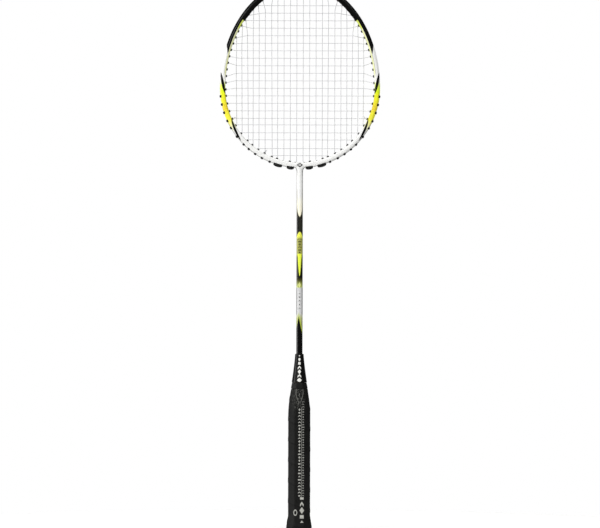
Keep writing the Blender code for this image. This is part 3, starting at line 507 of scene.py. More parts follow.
MAKERS = (frame_paint, shaft_paint, cone_plastic, grip_cover, grip_tape, string_nylon, core_wood)
MATERIALS = {make.__name__: make() for make in MAKERS + (composite, tack_steel)}
MATERIALS["cap_plastic"] = moulded_black("cap_plastic", "#0f0f0f", "#191918", 0.5)
MATERIALS["grommet_plastic"] = moulded_black("grommet_plastic", "#0c0c0c", "#161615", 0.55)


# Pieces and meshes


def smooth(part):
    """Eases a share of the way in and out. Past 1 it stays at 1."""
    part = min(1, part)
    return part * part * (3 - 2 * part)


def spread(low, high, count):
    """count equal steps from low to high, both included."""
    return [low + (high - low) * k / count for k in range(count + 1)]


def new_object(name, data):
    obj = bpy.data.objects.new(name, data)
    bpy.context.scene.collection.objects.link(obj)
    return obj


def piece(name, mesh, slot, replaced=(), matrix=None, sharp=35):
    """A finished piece of the racket in the given material slot."""
    obj = new_object(name, mesh)
    if matrix:
        obj.matrix_world = matrix
    if not mesh.materials:
        mesh.materials.append(MATERIALS[slot])
        mesh.shade_smooth()
        mesh.set_sharp_from_angle(angle=math.radians(sharp))
    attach(obj, "root")
    if replaced:
        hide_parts(*replaced)


def mesh_from(shape):
    """The mesh of a bmesh, which is freed."""
    mesh = bpy.data.meshes.new("shape")
    shape.to_mesh(mesh)
    shape.free()
    return mesh


def loft(rings, joined=False):
    """A mesh through rings of equal point counts, capped at its ends or joined from last to first."""
    count = len(rings[0])
    verts = [tuple(p) for ring in rings for p in ring]
    faces = []
    for r in range(len(rings) if joined else len(rings) - 1):
        a, b = r * count, (r + 1) % len(rings) * count
        for k in range(count):
            n = (k + 1) % count
            faces.append((a + k, a + n, b + n, b + k))
    if not joined:
        faces.append(tuple(range(count)))
        faces.append(tuple(range(len(verts) - count, len(verts))))
    mesh = bpy.data.meshes.new("loft")
    mesh.from_pydata(verts, [], faces)
    shape = bmesh.new()
    shape.from_mesh(mesh)
    bmesh.ops.recalc_face_normals(shape, faces=shape.faces)
    return mesh_from(shape)


def joined(meshes):
    """One mesh of several."""
    shape = bmesh.new()
    for mesh in meshes:
        shape.from_mesh(mesh)
    return mesh_from(shape)


def carved(mesh, *steps):
    """The mesh after exact booleans, given as (operation, mesh) steps."""
    obj = new_object("carved", mesh)
    tools = [new_object("tool", tool_mesh) for _, tool_mesh in steps]
    for (operation, _), tool in zip(steps, tools):
        modifier = obj.modifiers.new(operation, "BOOLEAN")
        modifier.operation = operation
        modifier.object = tool
        modifier.solver = "EXACT"
    result = finished_mesh(obj)
    for tool in tools:
        bpy.data.objects.remove(tool)
    return result


def finished_mesh(obj):
    """The mesh of an object with its modifiers or curve worked out. The object goes."""
    bpy.context.view_layer.update()
    graph = bpy.context.evaluated_depsgraph_get()
    mesh = bpy.data.meshes.new_from_object(obj.evaluated_get(graph))
    bpy.data.objects.remove(obj)
    return mesh


def rounded(points, cuts, steps=4):
    """A closed outline with each corner cut back and rounded."""
    result = []
    count = len(points)
    for k, (point, cut) in enumerate(zip(points, cuts)):
        here = Vector(point)
        if not cut:
            result.append(here)
            continue
        before = here + (Vector(points[k - 1]) - here).normalized() * cut
        after = here + (Vector(points[(k + 1) % count]) - here).normalized() * cut
        for t in spread(0, 1, steps):
            result.append(before * (1 - t) ** 2 + here * 2 * t * (1 - t) + after * t**2)
    return result


def ellipse(half_x, half_y, z, sides=48):
    turns = [TAU * k / sides for k in range(sides)]
    return [(half_x * math.cos(turn), half_y * math.sin(turn), z) for turn in turns]


def turned(profile, sides):
    """A closed profile of (radius, z) points turned about Z."""
    return loft([ellipse(radius, radius, z, sides) for radius, z in profile], joined=True)


def stood(start, end, height=0.0):
    """Turns Z to run from start to end, with its origin at this share of the way."""
    turn = (end - start).to_track_quat("Z", "Y").to_matrix().to_4x4()
    return Matrix.Translation(start.lerp(end, height)) @ turn


def cylinder(start, end, radius, sides=16):
    shape = bmesh.new()
    size = {"radius1": radius, "radius2": radius, "depth": (end - start).length}
    bmesh.ops.create_cone(shape, cap_ends=True, segments=sides, matrix=stood(start, end, 0.5), **size)
    return mesh_from(shape)


def boxes(matrices):
    shape = bmesh.new()
    for matrix in matrices:
        bmesh.ops.create_cube(shape, matrix=matrix)
    return mesh_from(shape)


def strand(points):
    """A string through a list of points."""
    curve = bpy.data.curves.new("strand", "CURVE")
    curve.dimensions = "3D"
    spline = curve.splines.new("POLY")
    spline.points.add(len(points) - 1)
    for spot, point in zip(spline.points, points):
        spot.co = (*point, 1)
    curve.bevel_depth = STRING_RADIUS
    curve.bevel_resolution = 2
    curve.use_fill_caps = True
    return finished_mesh(new_object("strand", curve))


# The hoop's outline


def hoop_rise(angle):
    """The outline's half height: that of a circle below its widest level, and of an ellipse above."""
    return HEAD_HALF_WIDTH if math.cos(angle) >= 0 else HEAD_RISE


def hoop_normal(angle):
    return Vector((math.sin(angle) / HEAD_HALF_WIDTH, 0, -math.cos(angle) / hoop_rise(angle))).normalized()


def hoop_point(angle, depth=0.0, y=0.0):
    out = hoop_normal(angle)
    x = HEAD_HALF_WIDTH * math.sin(angle) - depth * out.x
    return Vector((x, y, HEAD_WIDEST_Z - hoop_rise(angle) * math.cos(angle) - depth * out.z))


def hoop_matrix(angle, depth=0.0):
    """Local X runs along the hoop, local Y along the racket's depth and local Z outwards."""
    out = hoop_normal(angle)
    along = Vector((0, 1, 0)).cross(out)
    turn = Matrix((along, Vector((0, 1, 0)), out)).transposed().to_4x4()
    return Matrix.Translation(hoop_point(angle, depth)) @ turn


def swept(section, low=0.0, high=TAU, steps=HOOP_STEPS):
    """A section of (depth, y) points along the hoop, all the way round or between two angles."""
    whole = high - low > TAU - 1e-6
    angles = spread(low, high, steps)[: -1 if whole else None]
    return loft([[hoop_point(angle, depth, y) for depth, y in section] for angle in angles], joined=whole)


# String holes


def angle_where(reached, low, high):
    """The angle between low and high where the rising test reached(angle) first holds."""
    for _ in range(50):
        middle = (low + high) / 2
        low, high = (low, middle) if reached(middle) else (middle, high)
    return high


def main_x(k):
    """How far main string k of one half lies from the middle, counted outwards from 0."""
    steps = k + 0.5
    return MAIN_PITCH * steps - MAIN_CLOSING * steps**3


def end_angle(which, k, depth):
    """Where string k of the right half, a cross or either end of a main, is this deep in the hoop."""
    if which == "cross":
        z = CROSS_LOWEST_Z + k * CROSS_PITCH
        return angle_where(lambda a: hoop_point(a, depth).z > z, 0, math.pi)
    x = main_x(k)
    if which == "main_low":
        return angle_where(lambda a: hoop_point(a, depth).x > x, 0, math.pi / 2)
    return angle_where(lambda a: hoop_point(a, depth).x < x, math.pi / 2, math.pi)


def share_holes(ends):
    """Gives string ends that fall close together one hole. Returns the holes and who uses each."""
    groups = []
    for key in sorted(ends, key=ends.get):
        spot = hoop_point(ends[key])
        if groups and (spot - hoop_point(ends[groups[-1][0]])).length < HOLE_SPACING:
            groups[-1].append(key)
        else:
            groups.append([key])
    holes = [sum(ends[key] for key in group) / len(group) for group in groups]
    return holes, {key: number for number, group in enumerate(groups) for key in group}


class Hole:
    """A string hole: where it opens on the hoop's two sides and how far its grommet stands out inside."""

    def __init__(self, inner, outer, standout=BARREL_STANDOUT):
        self.inner = inner
        self.outer = outer
        self.standout = standout

    def mirrored(self, turn=0.0):
        """The hole opposite on the other side. Its angles are counted back from turn."""
        return Hole(turn - self.inner, turn - self.outer, self.standout)

    def at(self, depth, y=0.0):
        """The point on the hole's middle line at this depth."""
        start = hoop_point(self.outer, STRING_LOOP_DEPTH)
        end = hoop_point(self.inner, STRING_BEND_DEPTH)
        part = (depth - STRING_LOOP_DEPTH) / (STRING_BEND_DEPTH - STRING_LOOP_DEPTH)
        return start.lerp(end, part) + Vector((0, y, 0))


def even_angles(start, count):
    """Angles evenly spaced along the rim from start to the top, the last one half a space from it."""
    fine = spread(start, math.pi, RIM_SAMPLES)
    runs = [0]
    for here, there in zip(fine, fine[1:]):
        runs.append(runs[-1] + (hoop_point(there) - hoop_point(here)).length)
    space = runs[-1] / (count + 0.5)
    return [fine[bisect.bisect(runs, space * (k + 1))] for k in range(count)]


def right_holes():
    """One side's holes, lower ones where strings end and upper ones evenly spaced, and who uses each."""
    keys = [(which, k) for which in ("main_low", "main_high") for k in range(MAINS // 2)]
    keys += [("cross", k) for k in range(CROSSES)]
    ends = {key: end_angle(*key, STRING_BEND_DEPTH) for key in keys}
    lower, users = share_holes(ends)
    lower = lower[:LOWER_HOLES]
    upper = even_angles(lower[-1], UPPER_HOLES)
    for key, number in users.items():
        if number >= LOWER_HOLES:
            nearest = min(range(UPPER_HOLES), key=lambda k: abs(upper[k] - ends[key]))
            users[key] = LOWER_HOLES + nearest
    holes = [Hole(angle, angle) for angle in lower + upper]
    for hole, shift, standout in zip(holes, THROAT_EXIT_SHIFTS, THROAT_STANDOUTS):
        hole.outer += shift / HEAD_HALF_WIDTH
        hole.standout = standout
    return holes, users


def bed_points(key, side, y, users):
    """The place where a string end in an upper hole joins the bed's even grid. Empty for a lower hole."""
    if users[key] < LOWER_HOLES:
        return []
    depth = STRING_BEND_DEPTH + BED_MARGIN
    return [hoop_point(side * end_angle(*key, depth), depth, y)]


# Hoop


def hoop_section():
    half, groove = HOOP_DEPTH / 2, GROOVE_WIDTH / 2
    across, down = OUTER_CHAMFER
    upper = [
        (GROOVE_DEPTH, groove, 0.4),
        (0, groove, 0.35),
        (0, half - down, 0.5),
        (across, half, 0.9),
        (HOOP_WIDTH - INNER_CHAMFER, half, 0.6),
        (HOOP_WIDTH, half - INNER_CHAMFER, 0.6),
    ]
    corners = upper + [(depth, -y, cut) for depth, y, cut in reversed(upper)]
    return rounded([c[:2] for c in corners], [c[2] * MM for c in corners])


def throat_flare():
    """The flare where the shaft runs into the hoop, from the shaft's own circle to an oval on the rim."""
    neck, flared = SHAFT_RADIUS, HOOP_DEPTH / 2 - GAP / 3
    top = HOOP_BOTTOM_Z + GROOVE_DEPTH + HOOP_WALL / 2
    rings = [ellipse(neck + THROAT_FILLET, flared, top)]
    for turn in spread(0, math.pi / 2, 12):
        flare = 1 - math.sin(turn)
        z = HOOP_BOTTOM_Z + GAP - THROAT_FILLET_HEIGHT * (1 - math.cos(turn))
        rings.append(ellipse(neck + THROAT_FILLET * flare, neck + (flared - neck) * flare, z))
    rings.append(ellipse(neck, neck, SHAFT_HIGH.z + GAP / 6))
    return loft(rings)


def crown():
    """Thickens the hoop inwards round its top, running out smoothly at both ends."""
    half = HOOP_DEPTH / 2 - CROWN_INSET
    root = HOOP_WIDTH - 2 * INNER_CHAMFER
    rings = []
    for angle in spread(CROWN_START, TAU - CROWN_START, CROWN_STEPS):
        part = smooth((min(angle, TAU - angle) - CROWN_START) / (CROWN_FULL - CROWN_START))
        far = HOOP_WIDTH - GAP + (CROWN_WIDTH - HOOP_WIDTH + GAP) * part
        corners = [(root, half), (far - INNER_CHAMFER, half), (far, half - INNER_CHAMFER)]
        cuts = [0, 0.6 * MM, 0.6 * MM]
        corners += [(depth, -y) for depth, y in reversed(corners)]
        section = rounded(corners, cuts + cuts[::-1])
        rings.append([hoop_point(angle, depth, y) for depth, y in section])
    return loft(rings)


def hood_notches(holes):
    """The seats of the hooded grommets, down to the groove's floor right across the rim."""
    spans = [(holes[0], holes[1], PAD_OVERHANG), (holes[2], holes[3], PAD_OVERHANG)]
    for hole in holes[THROAT_HOLES:LOWER_HOLES]:
        spans.append((hole, hole, HOOD_LENGTH / 2))
    matrices = []
    for sign in (1, -1):
        for first, last, overhang in spans:
            length = (last.outer - first.outer) * HEAD_HALF_WIDTH + 2 * (overhang + GAP)
            size = Matrix.Diagonal((length, 2 * HOOP_DEPTH, 2 * GROOVE_DEPTH, 1))
            matrices.append(hoop_matrix(sign * (first.outer + last.outer) / 2) @ size)
    return boxes(matrices)


def mark_places(mesh):
    """Stores on each point its run along the hoop from the throat and its depth in from the rim, in mm."""
    angles = np.linspace(0, math.pi, OUTLINE_SAMPLES)
    outline = np.array([hoop_point(a)[:] for a in angles])[:, (0, 2)]
    runs = np.concatenate(([0], np.cumsum(np.linalg.norm(np.diff(outline, axis=0), axis=1))))
    normals = np.array([hoop_normal(a)[:] for a in angles])[:, (0, 2)]
    points = np.empty(len(mesh.vertices) * 3)
    mesh.vertices.foreach_get("co", points)
    points = points.reshape(-1, 3)[:, (0, 2)]
    points[:, 0] = np.abs(points[:, 0])
    nearest = np.concatenate(
        [((block[:, None] - outline) ** 2).sum(2).argmin(1) for block in np.array_split(points, 40)]
    )
    depths = -((points - outline[nearest]) * normals[nearest]).sum(1)
    for name, values in (("run", runs[nearest]), ("depth", depths)):
        attribute = mesh.attributes.new(name, "FLOAT", "POINT")
        attribute.data.foreach_set("value", (values / MM).astype(np.float32))


def make_head_frame(holes):
    both_sides = holes + [hole.mirrored() for hole in holes]
    far = CROWN_WIDTH + MM
    drills = joined([cylinder(h.at(-MM), h.at(far), BARREL_RADIUS + GAP / 2) for h in both_sides])
    half = HOLLOW_DEPTH / 2
    corners = [(HOLLOW_NEAR, -half), (HOLLOW_FAR, -half), (HOLLOW_FAR, half), (HOLLOW_NEAR, half)]
    stem_top = HOOP_BOTTOM_Z + HOLLOW_FAR - HOOP_WALL
    stem_bore = cylinder(Vector((0, 0, SHAFT_HIGH.z)), Vector((0, 0, stem_top)), STEM_RADIUS + GAP, 32)
    mesh = carved(
        swept(hoop_section()),
        ("DIFFERENCE", hood_notches(holes)),
        ("UNION", throat_flare()),
        ("UNION", crown()),
        ("DIFFERENCE", swept(corners, steps=HOOP_STEPS // 2)),
        ("DIFFERENCE", stem_bore),
        ("DIFFERENCE", drills),
    )
    mark_places(mesh)
    piece("hoop", mesh, "frame_paint", ["head_frame"], sharp=32)


# Grommets


def barrel(hole):
    """A tube through the hoop with a rounded lip on its inner end."""
    start, end = hole.at(BASE_TOP_DEPTH + BASE_THICKNESS / 2), hole.at(HOOP_WIDTH + hole.standout)
    length = (end - start).length
    lip = 0.18 * MM
    profile = [
        (BARREL_BORE_RADIUS, 0),
        (BARREL_RADIUS, 0),
        (BARREL_RADIUS, length - lip),
        (BARREL_RADIUS - lip / 3, length - lip / 3),
        (BARREL_RADIUS - lip, length),
        (BARREL_BORE_RADIUS, length),
    ]
    mesh = turned(profile, BARREL_SIDES)
    mesh.transform(stood(start, end))
    return mesh


def bore(hole):
    start, end = hole.at(BASE_TOP_DEPTH - TUNNEL_HEIGHT / 2), hole.at(BARREL_END_DEPTH)
    return cylinder(start, end, BARREL_BORE_RADIUS, BARREL_SIDES)


def tunnel(first, last, overrun):
    """The strings' way under a hood, from before one hole to past another."""
    middle = BASE_TOP_DEPTH - TUNNEL_HEIGHT / 2
    start, end = hoop_point(first.outer, middle), hoop_point(last.outer, middle)
    matrix = hoop_matrix((first.outer + last.outer) / 2)
    matrix.translation = (start + end) / 2
    size = ((end - start).length + 2 * overrun, TUNNEL_WIDTH, TUNNEL_HEIGHT, 1)
    return boxes([matrix @ Matrix.Diagonal(size)])


def hooded(first, last, outline, overrun):
    """A hood of this (along, out) outline, crowned across, over the barrels of one hole or of two."""
    base = min(out for _, out in outline)
    steps = [(1, 0.66), (0.97, 0.82), (0.88, 0.94), (0.7, 1.0)]
    rings = []
    for y, share in [(-y, share) for y, share in steps] + steps[::-1]:
        narrowing = 0.94 + 0.06 * share
        out_at = [(along * narrowing, base + (out - base) * share) for along, out in outline]
        rings.append([(along, y * HOOD_WIDTH / 2, out) for along, out in out_at])
    hood = loft(rings)
    hood.transform(hoop_matrix((first.outer + last.outer) / 2))
    holes = [first] if first is last else [first, last]
    bores = joined([bore(hole) for hole in holes])
    hood = carved(hood, ("DIFFERENCE", tunnel(first, last, overrun)), ("DIFFERENCE", bores))
    return joined([hood] + [barrel(hole) for hole in holes])


def single_mesh(hole):
    """A barrel under a small rounded hood, in the hole's own frame."""
    half, base = HOOD_LENGTH / 2, BASE_LIFT - GROOVE_DEPTH
    corners = [(-half, base), (half, base), (half, HOOD_STANDOUT), (-half, HOOD_STANDOUT)]
    outline = rounded(corners, [0.1 * MM, 0.1 * MM, 0.95 * MM, 0.95 * MM], 6)
    mesh = hooded(hole, hole, outline, HOOD_LENGTH)
    mesh.transform(hoop_matrix(hole.outer).inverted())
    return mesh


def make_single_grommets(holes):
    chosen = holes[THROAT_HOLES:LOWER_HOLES]
    mesh = single_mesh(chosen[0])
    for side, sign in (("right", 1), ("left", -1)):
        for number, hole in enumerate(chosen, 1):
            node = f"grommet_{side}_{number:02d}"
            matrix = hoop_matrix(sign * hole.outer)
            piece(f"{node}_hood", mesh, "grommet_plastic", [node], matrix)


def make_throat_grommet(node, first, last):
    """Two barrels under one long dome beside the shaft."""
    half = abs(last.outer - first.outer) * HEAD_HALF_WIDTH / 2 + PAD_OVERHANG
    base = BASE_LIFT - GROOVE_DEPTH
    outline = [(-half, base), (half, base)]
    for turn in spread(0, math.pi, 24):
        height = max(0, math.sin(turn)) ** PAD_FULLNESS
        outline.append((half * math.cos(turn), PAD_SHOULDER + (PAD_STANDOUT - PAD_SHOULDER) * height))
    mesh = hooded(first, last, outline, BARREL_BORE_RADIUS * 0.8)
    piece(f"{node}_pad", mesh, "grommet_plastic", [node])


def make_grommet_strip(node, holes):
    """A thin band in the groove with a barrel at each hole."""
    overhang = STRIP_OVERHANG / HEAD_HALF_WIDTH
    low, high = holes[0].outer - overhang, holes[-1].outer + overhang
    near, far, half = BASE_TOP_DEPTH, BASE_TOP_DEPTH + BASE_THICKNESS, BASE_WIDTH / 2
    section = rounded([(near, -half), (far, -half), (far, half), (near, half)], [0.15 * MM] * 4, 3)
    steps = math.ceil((high - low) / TAU * HOOP_STEPS)
    band = carved(swept(section, low, high, steps), ("DIFFERENCE", joined([bore(h) for h in holes])))
    piece(f"{node}_band", joined([band] + [barrel(h) for h in holes]), "grommet_plastic", [node])


def make_grommets(holes):
    left = [hole.mirrored() for hole in holes]
    for side, own in (("right", holes), ("left", left)):
        make_throat_grommet(f"throat_grommet_{side}_inner", own[0], own[1])
        make_throat_grommet(f"throat_grommet_{side}_outer", own[2], own[3])
    make_single_grommets(holes)
    first, last = LOWER_HOLES, LOWER_HOLES + SIDE_STRIP_HOLES
    make_grommet_strip("grommet_strip_right", holes[first:last])
    make_grommet_strip("grommet_strip_left", list(reversed(left[first:last])))
    over_the_top = [hole.mirrored(TAU) for hole in reversed(holes[last:])]
    make_grommet_strip("grommet_strip_top", holes[last:] + over_the_top)


# Strings


def loop_points(first, last, y):
    """Out of one hole, round the outside of the hoop the short way, and into another."""
    way = math.remainder(last.outer - first.outer, TAU)
    step = math.copysign(STRING_TURN / HEAD_HALF_WIDTH, way)
    start, end = first.outer + step, first.outer + way - step
    count = max(2, math.ceil(abs(end - start) * HEAD_HALF_WIDTH / LOOP_STEP))
    outside = [hoop_point(angle, STRING_LOOP_DEPTH, y) for angle in spread(start, end, count)]

    def passage(hole, next_point):
        bend = hole.at(STRING_LOOP_DEPTH + STRING_TURN / 3, y).lerp(next_point, 0.4)
        return [hole.at(STRING_BEND_DEPTH, y), hole.at(STRING_LOOP_DEPTH + STRING_TURN, y), bend]

    return passage(first, outside[0]) + outside + passage(last, outside[-1])[::-1]


def woven(corners, plane, phase_at, sign):
    """The run between two holes, by way of its corners, which swings over and under what it crosses."""
    way = []
    for start, end in zip(corners, corners[1:]):
        count = round((end - start).length / WEAVE_STEP)
        way += [start.lerp(end, k / count) for k in range(count)]
    count = len(way)
    points = []
    for k in range(1, count):
        spot = (way[k - 1] + way[k] * 2 + way[k + 1]) / 4 if k < count - 1 else way[k]
        inside = smooth(min(k, count - k) * WEAVE_STEP / SETTLE)
        swing = sign * WEAVE * math.cos(math.pi * phase_at(spot))
        points.append(Vector((spot.x, plane * (1 - inside) + swing * inside, spot.z)))
    return points


def main_number(x):
    """Which main string is at this x: a whole number on a string, with -1 and 0 beside the middle."""
    steps = abs(x) / MAIN_PITCH
    for _ in range(4):
        steps = (abs(x) + MAIN_CLOSING * steps**3) / MAIN_PITCH
    return math.copysign(steps, x) - 0.5


def make_string(node, runs, spares, plane, phase_at, holes, users):
    """One string to and fro through its runs, tied off at two spare holes.

    A run is its two ends, each the key of a string end in the right half and the side that it is on.
    """

    def hole(key, side):
        return holes[users[key]] if side > 0 else holes[users[key]].mirrored()

    runs = [run[::-1] if number % 2 else run for number, run in enumerate(runs)]
    points = loop_points(hole(*runs[0][0]), spares[0], plane)[::-1]
    next_holes = [hole(*start) for start, _ in runs[1:]] + [spares[1]]
    for number, (run, next_hole) in enumerate(zip(runs, next_holes)):
        loop = loop_points(hole(*run[1]), next_hole, plane)
        bed = [point for key, side in run for point in bed_points(key, side, plane, users)]
        sign = 1 if number % 2 else -1
        points += woven([points[-1], *bed, loop[0]], plane, phase_at, sign) + loop
    piece(f"{node}_woven", strand(points), "string_nylon", [node], sharp=60)
    knot(points[0], spares[0].inner, f"{node}_knot_1")
    knot(points[-1], spares[1].inner, f"{node}_knot_2")


def knot(end, angle, name):
    """A small hitch against the grommet, with a trimmed tail."""
    inward, back = -hoop_normal(angle), Vector((0, 1, 0))
    side = back.cross(inward)
    points = [end - inward * 0.3 * MM]
    for k in range(KNOT_STEPS + 1):
        turn = TAU * KNOT_TURNS * k / KNOT_STEPS
        radius = KNOT_RADIUS * min(1, (k + 2) / 6)
        rise = 0.1 * MM + KNOT_HEIGHT * k / KNOT_STEPS
        points.append(end + inward * rise + (side * math.cos(turn) + back * math.sin(turn)) * radius)
    tip = points[-1]
    points.append(tip + inward * 0.8 * MM + side * 0.6 * MM)
    points.append(tip + inward * 1.9 * MM + side * 1.5 * MM)
    piece(name, strand(points), "string_nylon", sharp=60)


def make_strings(holes, users):
    """The main string is tied off at the lower left and right, the cross string at both ends of the left."""
    half = MAINS // 2
    right = [(k, 1) for k in range(half)]
    across = [(k, -1) for k, _ in reversed(right)] + right
    runs = [[(("main_low", k), side), (("main_high", k), side)] for k, side in across]
    spare = holes[users["main_low", half - 1] + 1]
    spares = (spare.mirrored(), spare)
    cross_at = lambda spot: (spot.z - CROSS_LOWEST_Z) / CROSS_PITCH
    make_string("main_string", runs, spares, STRING_PLANE, cross_at, holes, users)
    runs = [[(("cross", k), -1), (("cross", k), 1)] for k in range(CROSSES)]
    spares = [holes[users["cross", k] + 1].mirrored() for k in (0, CROSSES - 1)]
    main_at = lambda spot: main_number(spot.x)
    make_string("cross_string", runs, spares, -STRING_PLANE, main_at, holes, users)


# Shaft, cone and handle


def make_shaft():
    bore_radius = 2.7 * MM
    edge = 0.1 * MM
    profile = [
        (SHAFT_RADIUS - edge, SHAFT_HIGH.z),
        (SHAFT_RADIUS, SHAFT_HIGH.z - edge),
        (SHAFT_RADIUS, SHAFT_LOW.z),
        (bore_radius, SHAFT_LOW.z),
        (bore_radius, SHAFT_HIGH.z),
    ]
    piece("shaft_tube", turned(profile, 64), "shaft_paint", ["shaft"])


def make_cone():
    low, high = CONE_LOW.z, CONE_HIGH.z
    bore_radius = SHAFT_RADIUS + GAP
    edge = 0.35 * MM
    outer = [(CONE_TOP_RADIUS - edge, high)]
    for part in spread(0, 1, 24):
        z = high - edge - (high - low - 2 * edge) * part
        outer.append((CONE_TOP_RADIUS + (CONE_BOTTOM_RADIUS - CONE_TOP_RADIUS) * part**CONE_POWER, z))
    outer.append((CONE_BOTTOM_RADIUS - edge, low))
    inner = [
        (CONE_BOTTOM_RADIUS - CONE_WALL, low),
        (CONE_SHOULDER_RADIUS, CORE_TOP_Z + GAP),
        (bore_radius, CORE_TOP_Z + 4 * MM),
        (bore_radius, high),
    ]
    piece("cone", turned(outer + inner, 96), "cone_plastic", ["cone_cap"])


def grip_half_width(z):
    """The grip's outer half width: a flare at the butt, a straight middle and a taper to the cone."""
    if z < FLARE_Z:
        return GRIP_HALF_WIDTH + (BUTT_HALF_WIDTH - GRIP_HALF_WIDTH) * (1 - z / FLARE_Z)
    if z < GRIP_TAPER_Z:
        return GRIP_HALF_WIDTH
    part = (z - GRIP_TAPER_Z) / (GRIP_HIGH.z - GRIP_TAPER_Z)
    return GRIP_HALF_WIDTH - (GRIP_HALF_WIDTH - GRIP_TOP_HALF_WIDTH) * part**TAPER_POWER


def depth_ratio(z):
    part = (z - GRIP_TAPER_Z) / (GRIP_HIGH.z - GRIP_TAPER_Z)
    return DEPTH_RATIO + (1 - DEPTH_RATIO) * min(1, max(0, part))


def eight_sided(half_x, half_y, z, inset_at=None):
    """A ring with eight flats and rounded corners. inset_at(turn) draws a point in by that much."""
    ring = []
    for k in range(HANDLE_SIDES):
        turn = TAU * k / HANDLE_SIDES
        total = sum(max(0, math.cos(turn - TAU * n / 8)) ** FACET_SHARPNESS for n in range(8))
        reach = total ** (-1 / FACET_SHARPNESS)
        inset = inset_at(turn) if inset_at else 0
        x, y = (half_x - inset) * reach * math.cos(turn), (half_y - inset) * reach * math.sin(turn)
        ring.append((x, y, z))
    return ring


def wrap_inset(turn, z):
    """The wrap's spiral: each turn of the strip laps over the one below and ends in a small step."""
    phase = (z / WRAP_PITCH + math.remainder(turn, TAU) / TAU) % 1
    lip = max(0, (phase - 0.97) / 0.03)
    return WRAP_STEP * smooth(phase / WRAP_LAP) * (1 - lip) + 0.02 * MM


def grip_ring(z, inset, inset_at=None):
    """A ring round the handle at this height, drawn in by inset."""
    half = grip_half_width(z)
    return eight_sided(half - inset, half * depth_ratio(z) - inset, z, inset_at)


def make_grip():
    low, high = GRIP_LOW.z, GRIP_HIGH.z
    seat = TAPE_THICKNESS + GAP
    outside = []
    for k, z in enumerate(spread(high, low, GRIP_STEPS)):
        inset = GRIP_EDGE * max(0, 1 - (GRIP_STEPS - k) / 3) ** 2
        if z > TAPE_LOW.z - GAP:
            inset = seat
        elif z > TAPE_LOW.z - 3 * GAP:
            inset = seat / 3
        outside.append(grip_ring(z, inset, lambda turn: wrap_inset(turn, z)))
    inside = [grip_ring(z, GRIP_THICKNESS) for z in spread(low, high, 12)]
    piece("grip_cover", loft(outside + inside, joined=True), "grip_cover", ["grip_wrap"], sharp=50)


def make_tape():
    """The tape round the grip's top end, with its two edges rounded off."""
    low, high = TAPE_LOW.z, TAPE_HIGH.z
    rings = [grip_ring(z, 0) for z in spread(high, low, TAPE_STEPS)[1:-1]]
    rings = [grip_ring(high, TAPE_EDGE)] + rings + [grip_ring(low, TAPE_EDGE)]
    rings += [grip_ring(z, TAPE_THICKNESS) for z in (low, high)]
    piece("end_tape", loft(rings, joined=True), "grip_tape", ["grip_end_tape"])


def make_butt_cap():
    inset = GRIP_THICKNESS + GAP
    top, flange = CAP_HIGH.z, CAP_FLANGE_TOP_Z
    tenon = CORE_TENON_HALF_WIDTH + GAP
    profile = [
        (tenon, CORE_BOTTOM_Z - GAP),
        (tenon, top),
        (grip_half_width(top) - inset, top),
        (grip_half_width(flange) - inset, flange),
        (grip_half_width(flange) - CAP_EDGE, flange),
        (grip_half_width(flange - CAP_EDGE), flange - CAP_EDGE),
    ]
    for turn in spread(0, math.pi / 2, 6):
        profile.append((BUTT_HALF_WIDTH - CAP_RIM * (1 - math.cos(turn)), CAP_RIM * (1 - math.sin(turn))))
    ridge = DISH_HALF_WIDTH - 3 * MM
    profile += [(DISH_HALF_WIDTH, 0), (DISH_HALF_WIDTH - DISH_SLOPE, DISH_DEPTH)]
    profile += [(ridge, DISH_DEPTH), (ridge - DISH_SLOPE, 0.1 * MM)]
    shrink = BUTT_HALF_WIDTH * (1 - DEPTH_RATIO)
    rings = [eight_sided(half, max(half - shrink, half * DEPTH_RATIO), z) for half, z in profile]
    piece("end_cap", loft(rings), "cap_plastic", ["butt_cap"], sharp=40)


def paint_kept_nodes():
    """The CAD nodes that stay as they are, all inside the racket."""
    kept = {
        "handle_core": "core_wood",
        "t_joint": "composite",
        "cap_tack_front": "tack_steel",
        "cap_tack_back": "tack_steel",
    }
    for node, slot in kept.items():
        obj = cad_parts[node]
        obj.data.materials.clear()
        obj.data.materials.append(MATERIALS[slot])


# Stage


def make_floor():
    shape = bmesh.new()
    bmesh.ops.create_circle(shape, cap_ends=True, segments=96, radius=FLOOR_RADIUS)
    mesh = mesh_from(shape)
    mesh.materials.append(floor_paint())
    floor = new_object("floor", mesh)


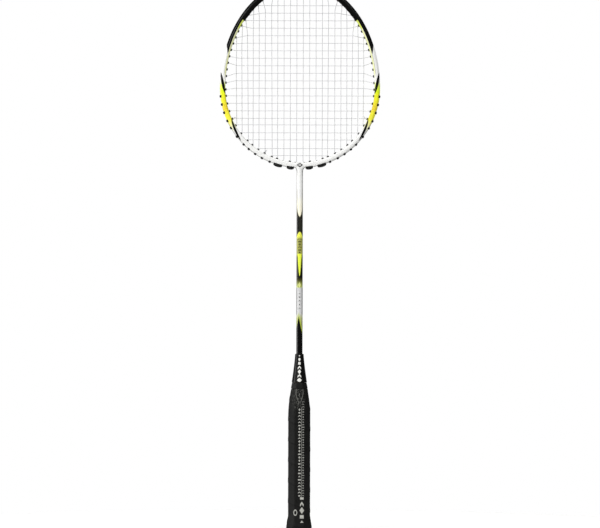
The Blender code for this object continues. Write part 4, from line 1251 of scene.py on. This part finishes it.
def area_light(name, place, target, size, power):
    data = bpy.data.lights.new(name, "AREA")
    data.shape = "SQUARE"
    data.size = size
    data.energy = power
    light = new_object(name, data)
    light.location = place
    light.rotation_euler = (Vector(target) - Vector(place)).to_track_quat("-Z", "Y").to_euler()


def make_world():
    """White to the camera, and a soft grey surround for what it lights."""
    world = bpy.data.worlds.new("studio")
    bpy.context.scene.world = world
    world.use_nodes = True
    tree = world.node_tree
    tree.nodes.clear()
    path = tree.nodes.new("ShaderNodeLightPath")
    mix = tree.nodes.new("ShaderNodeMixShader")
    output = tree.nodes.new("ShaderNodeOutputWorld")
    for number, strength in ((1, SURROUND_LIGHT), (2, 1.0)):
        background = tree.nodes.new("ShaderNodeBackground")
        background.inputs["Color"].default_value = (1, 1, 1, 1)
        background.inputs["Strength"].default_value = strength
        tree.links.new(background.outputs[0], mix.inputs[number])
    tree.links.new(path.outputs["Is Camera Ray"], mix.inputs[0])
    tree.links.new(mix.outputs[0], output.inputs[0])


def make_lights():
    middle = (0, 0, 0.35)
    area_light("key", (-1.7, -2.4, 1.6), middle, 1.2, 50)
    area_light("fill", (0.6, -2.5, 2.2), middle, 1.2, 35)
    area_light("side", (-2.8, -0.3, 0.5), middle, 0.9, 32)
    area_light("top", (0, 0.4, 2.6), (0, 0.4, 0), 2.6, 65)


def make_camera():
    data = bpy.data.cameras.new("camera")
    data.sensor_width = SENSOR
    data.lens = SENSOR * CAMERA_DISTANCE / VIEW_WIDTH
    data.clip_end = 50
    camera = new_object("camera", data)
    camera.location = VIEW_MIDDLE - Vector((0, CAMERA_DISTANCE, 0))
    camera.rotation_euler = (math.pi / 2, VIEW_ROLL, 0)
    bpy.context.scene.camera = camera
    bpy.context.scene.view_settings.view_transform = "Standard"


def main():
    holes, users = right_holes()
    make_head_frame(holes)
    make_grommets(holes)
    make_strings(holes, users)
    make_shaft()
    make_cone()
    make_grip()
    make_tape()
    make_butt_cap()
    paint_kept_nodes()
    make_floor()
    make_world()
    make_lights()
    make_camera()


main()
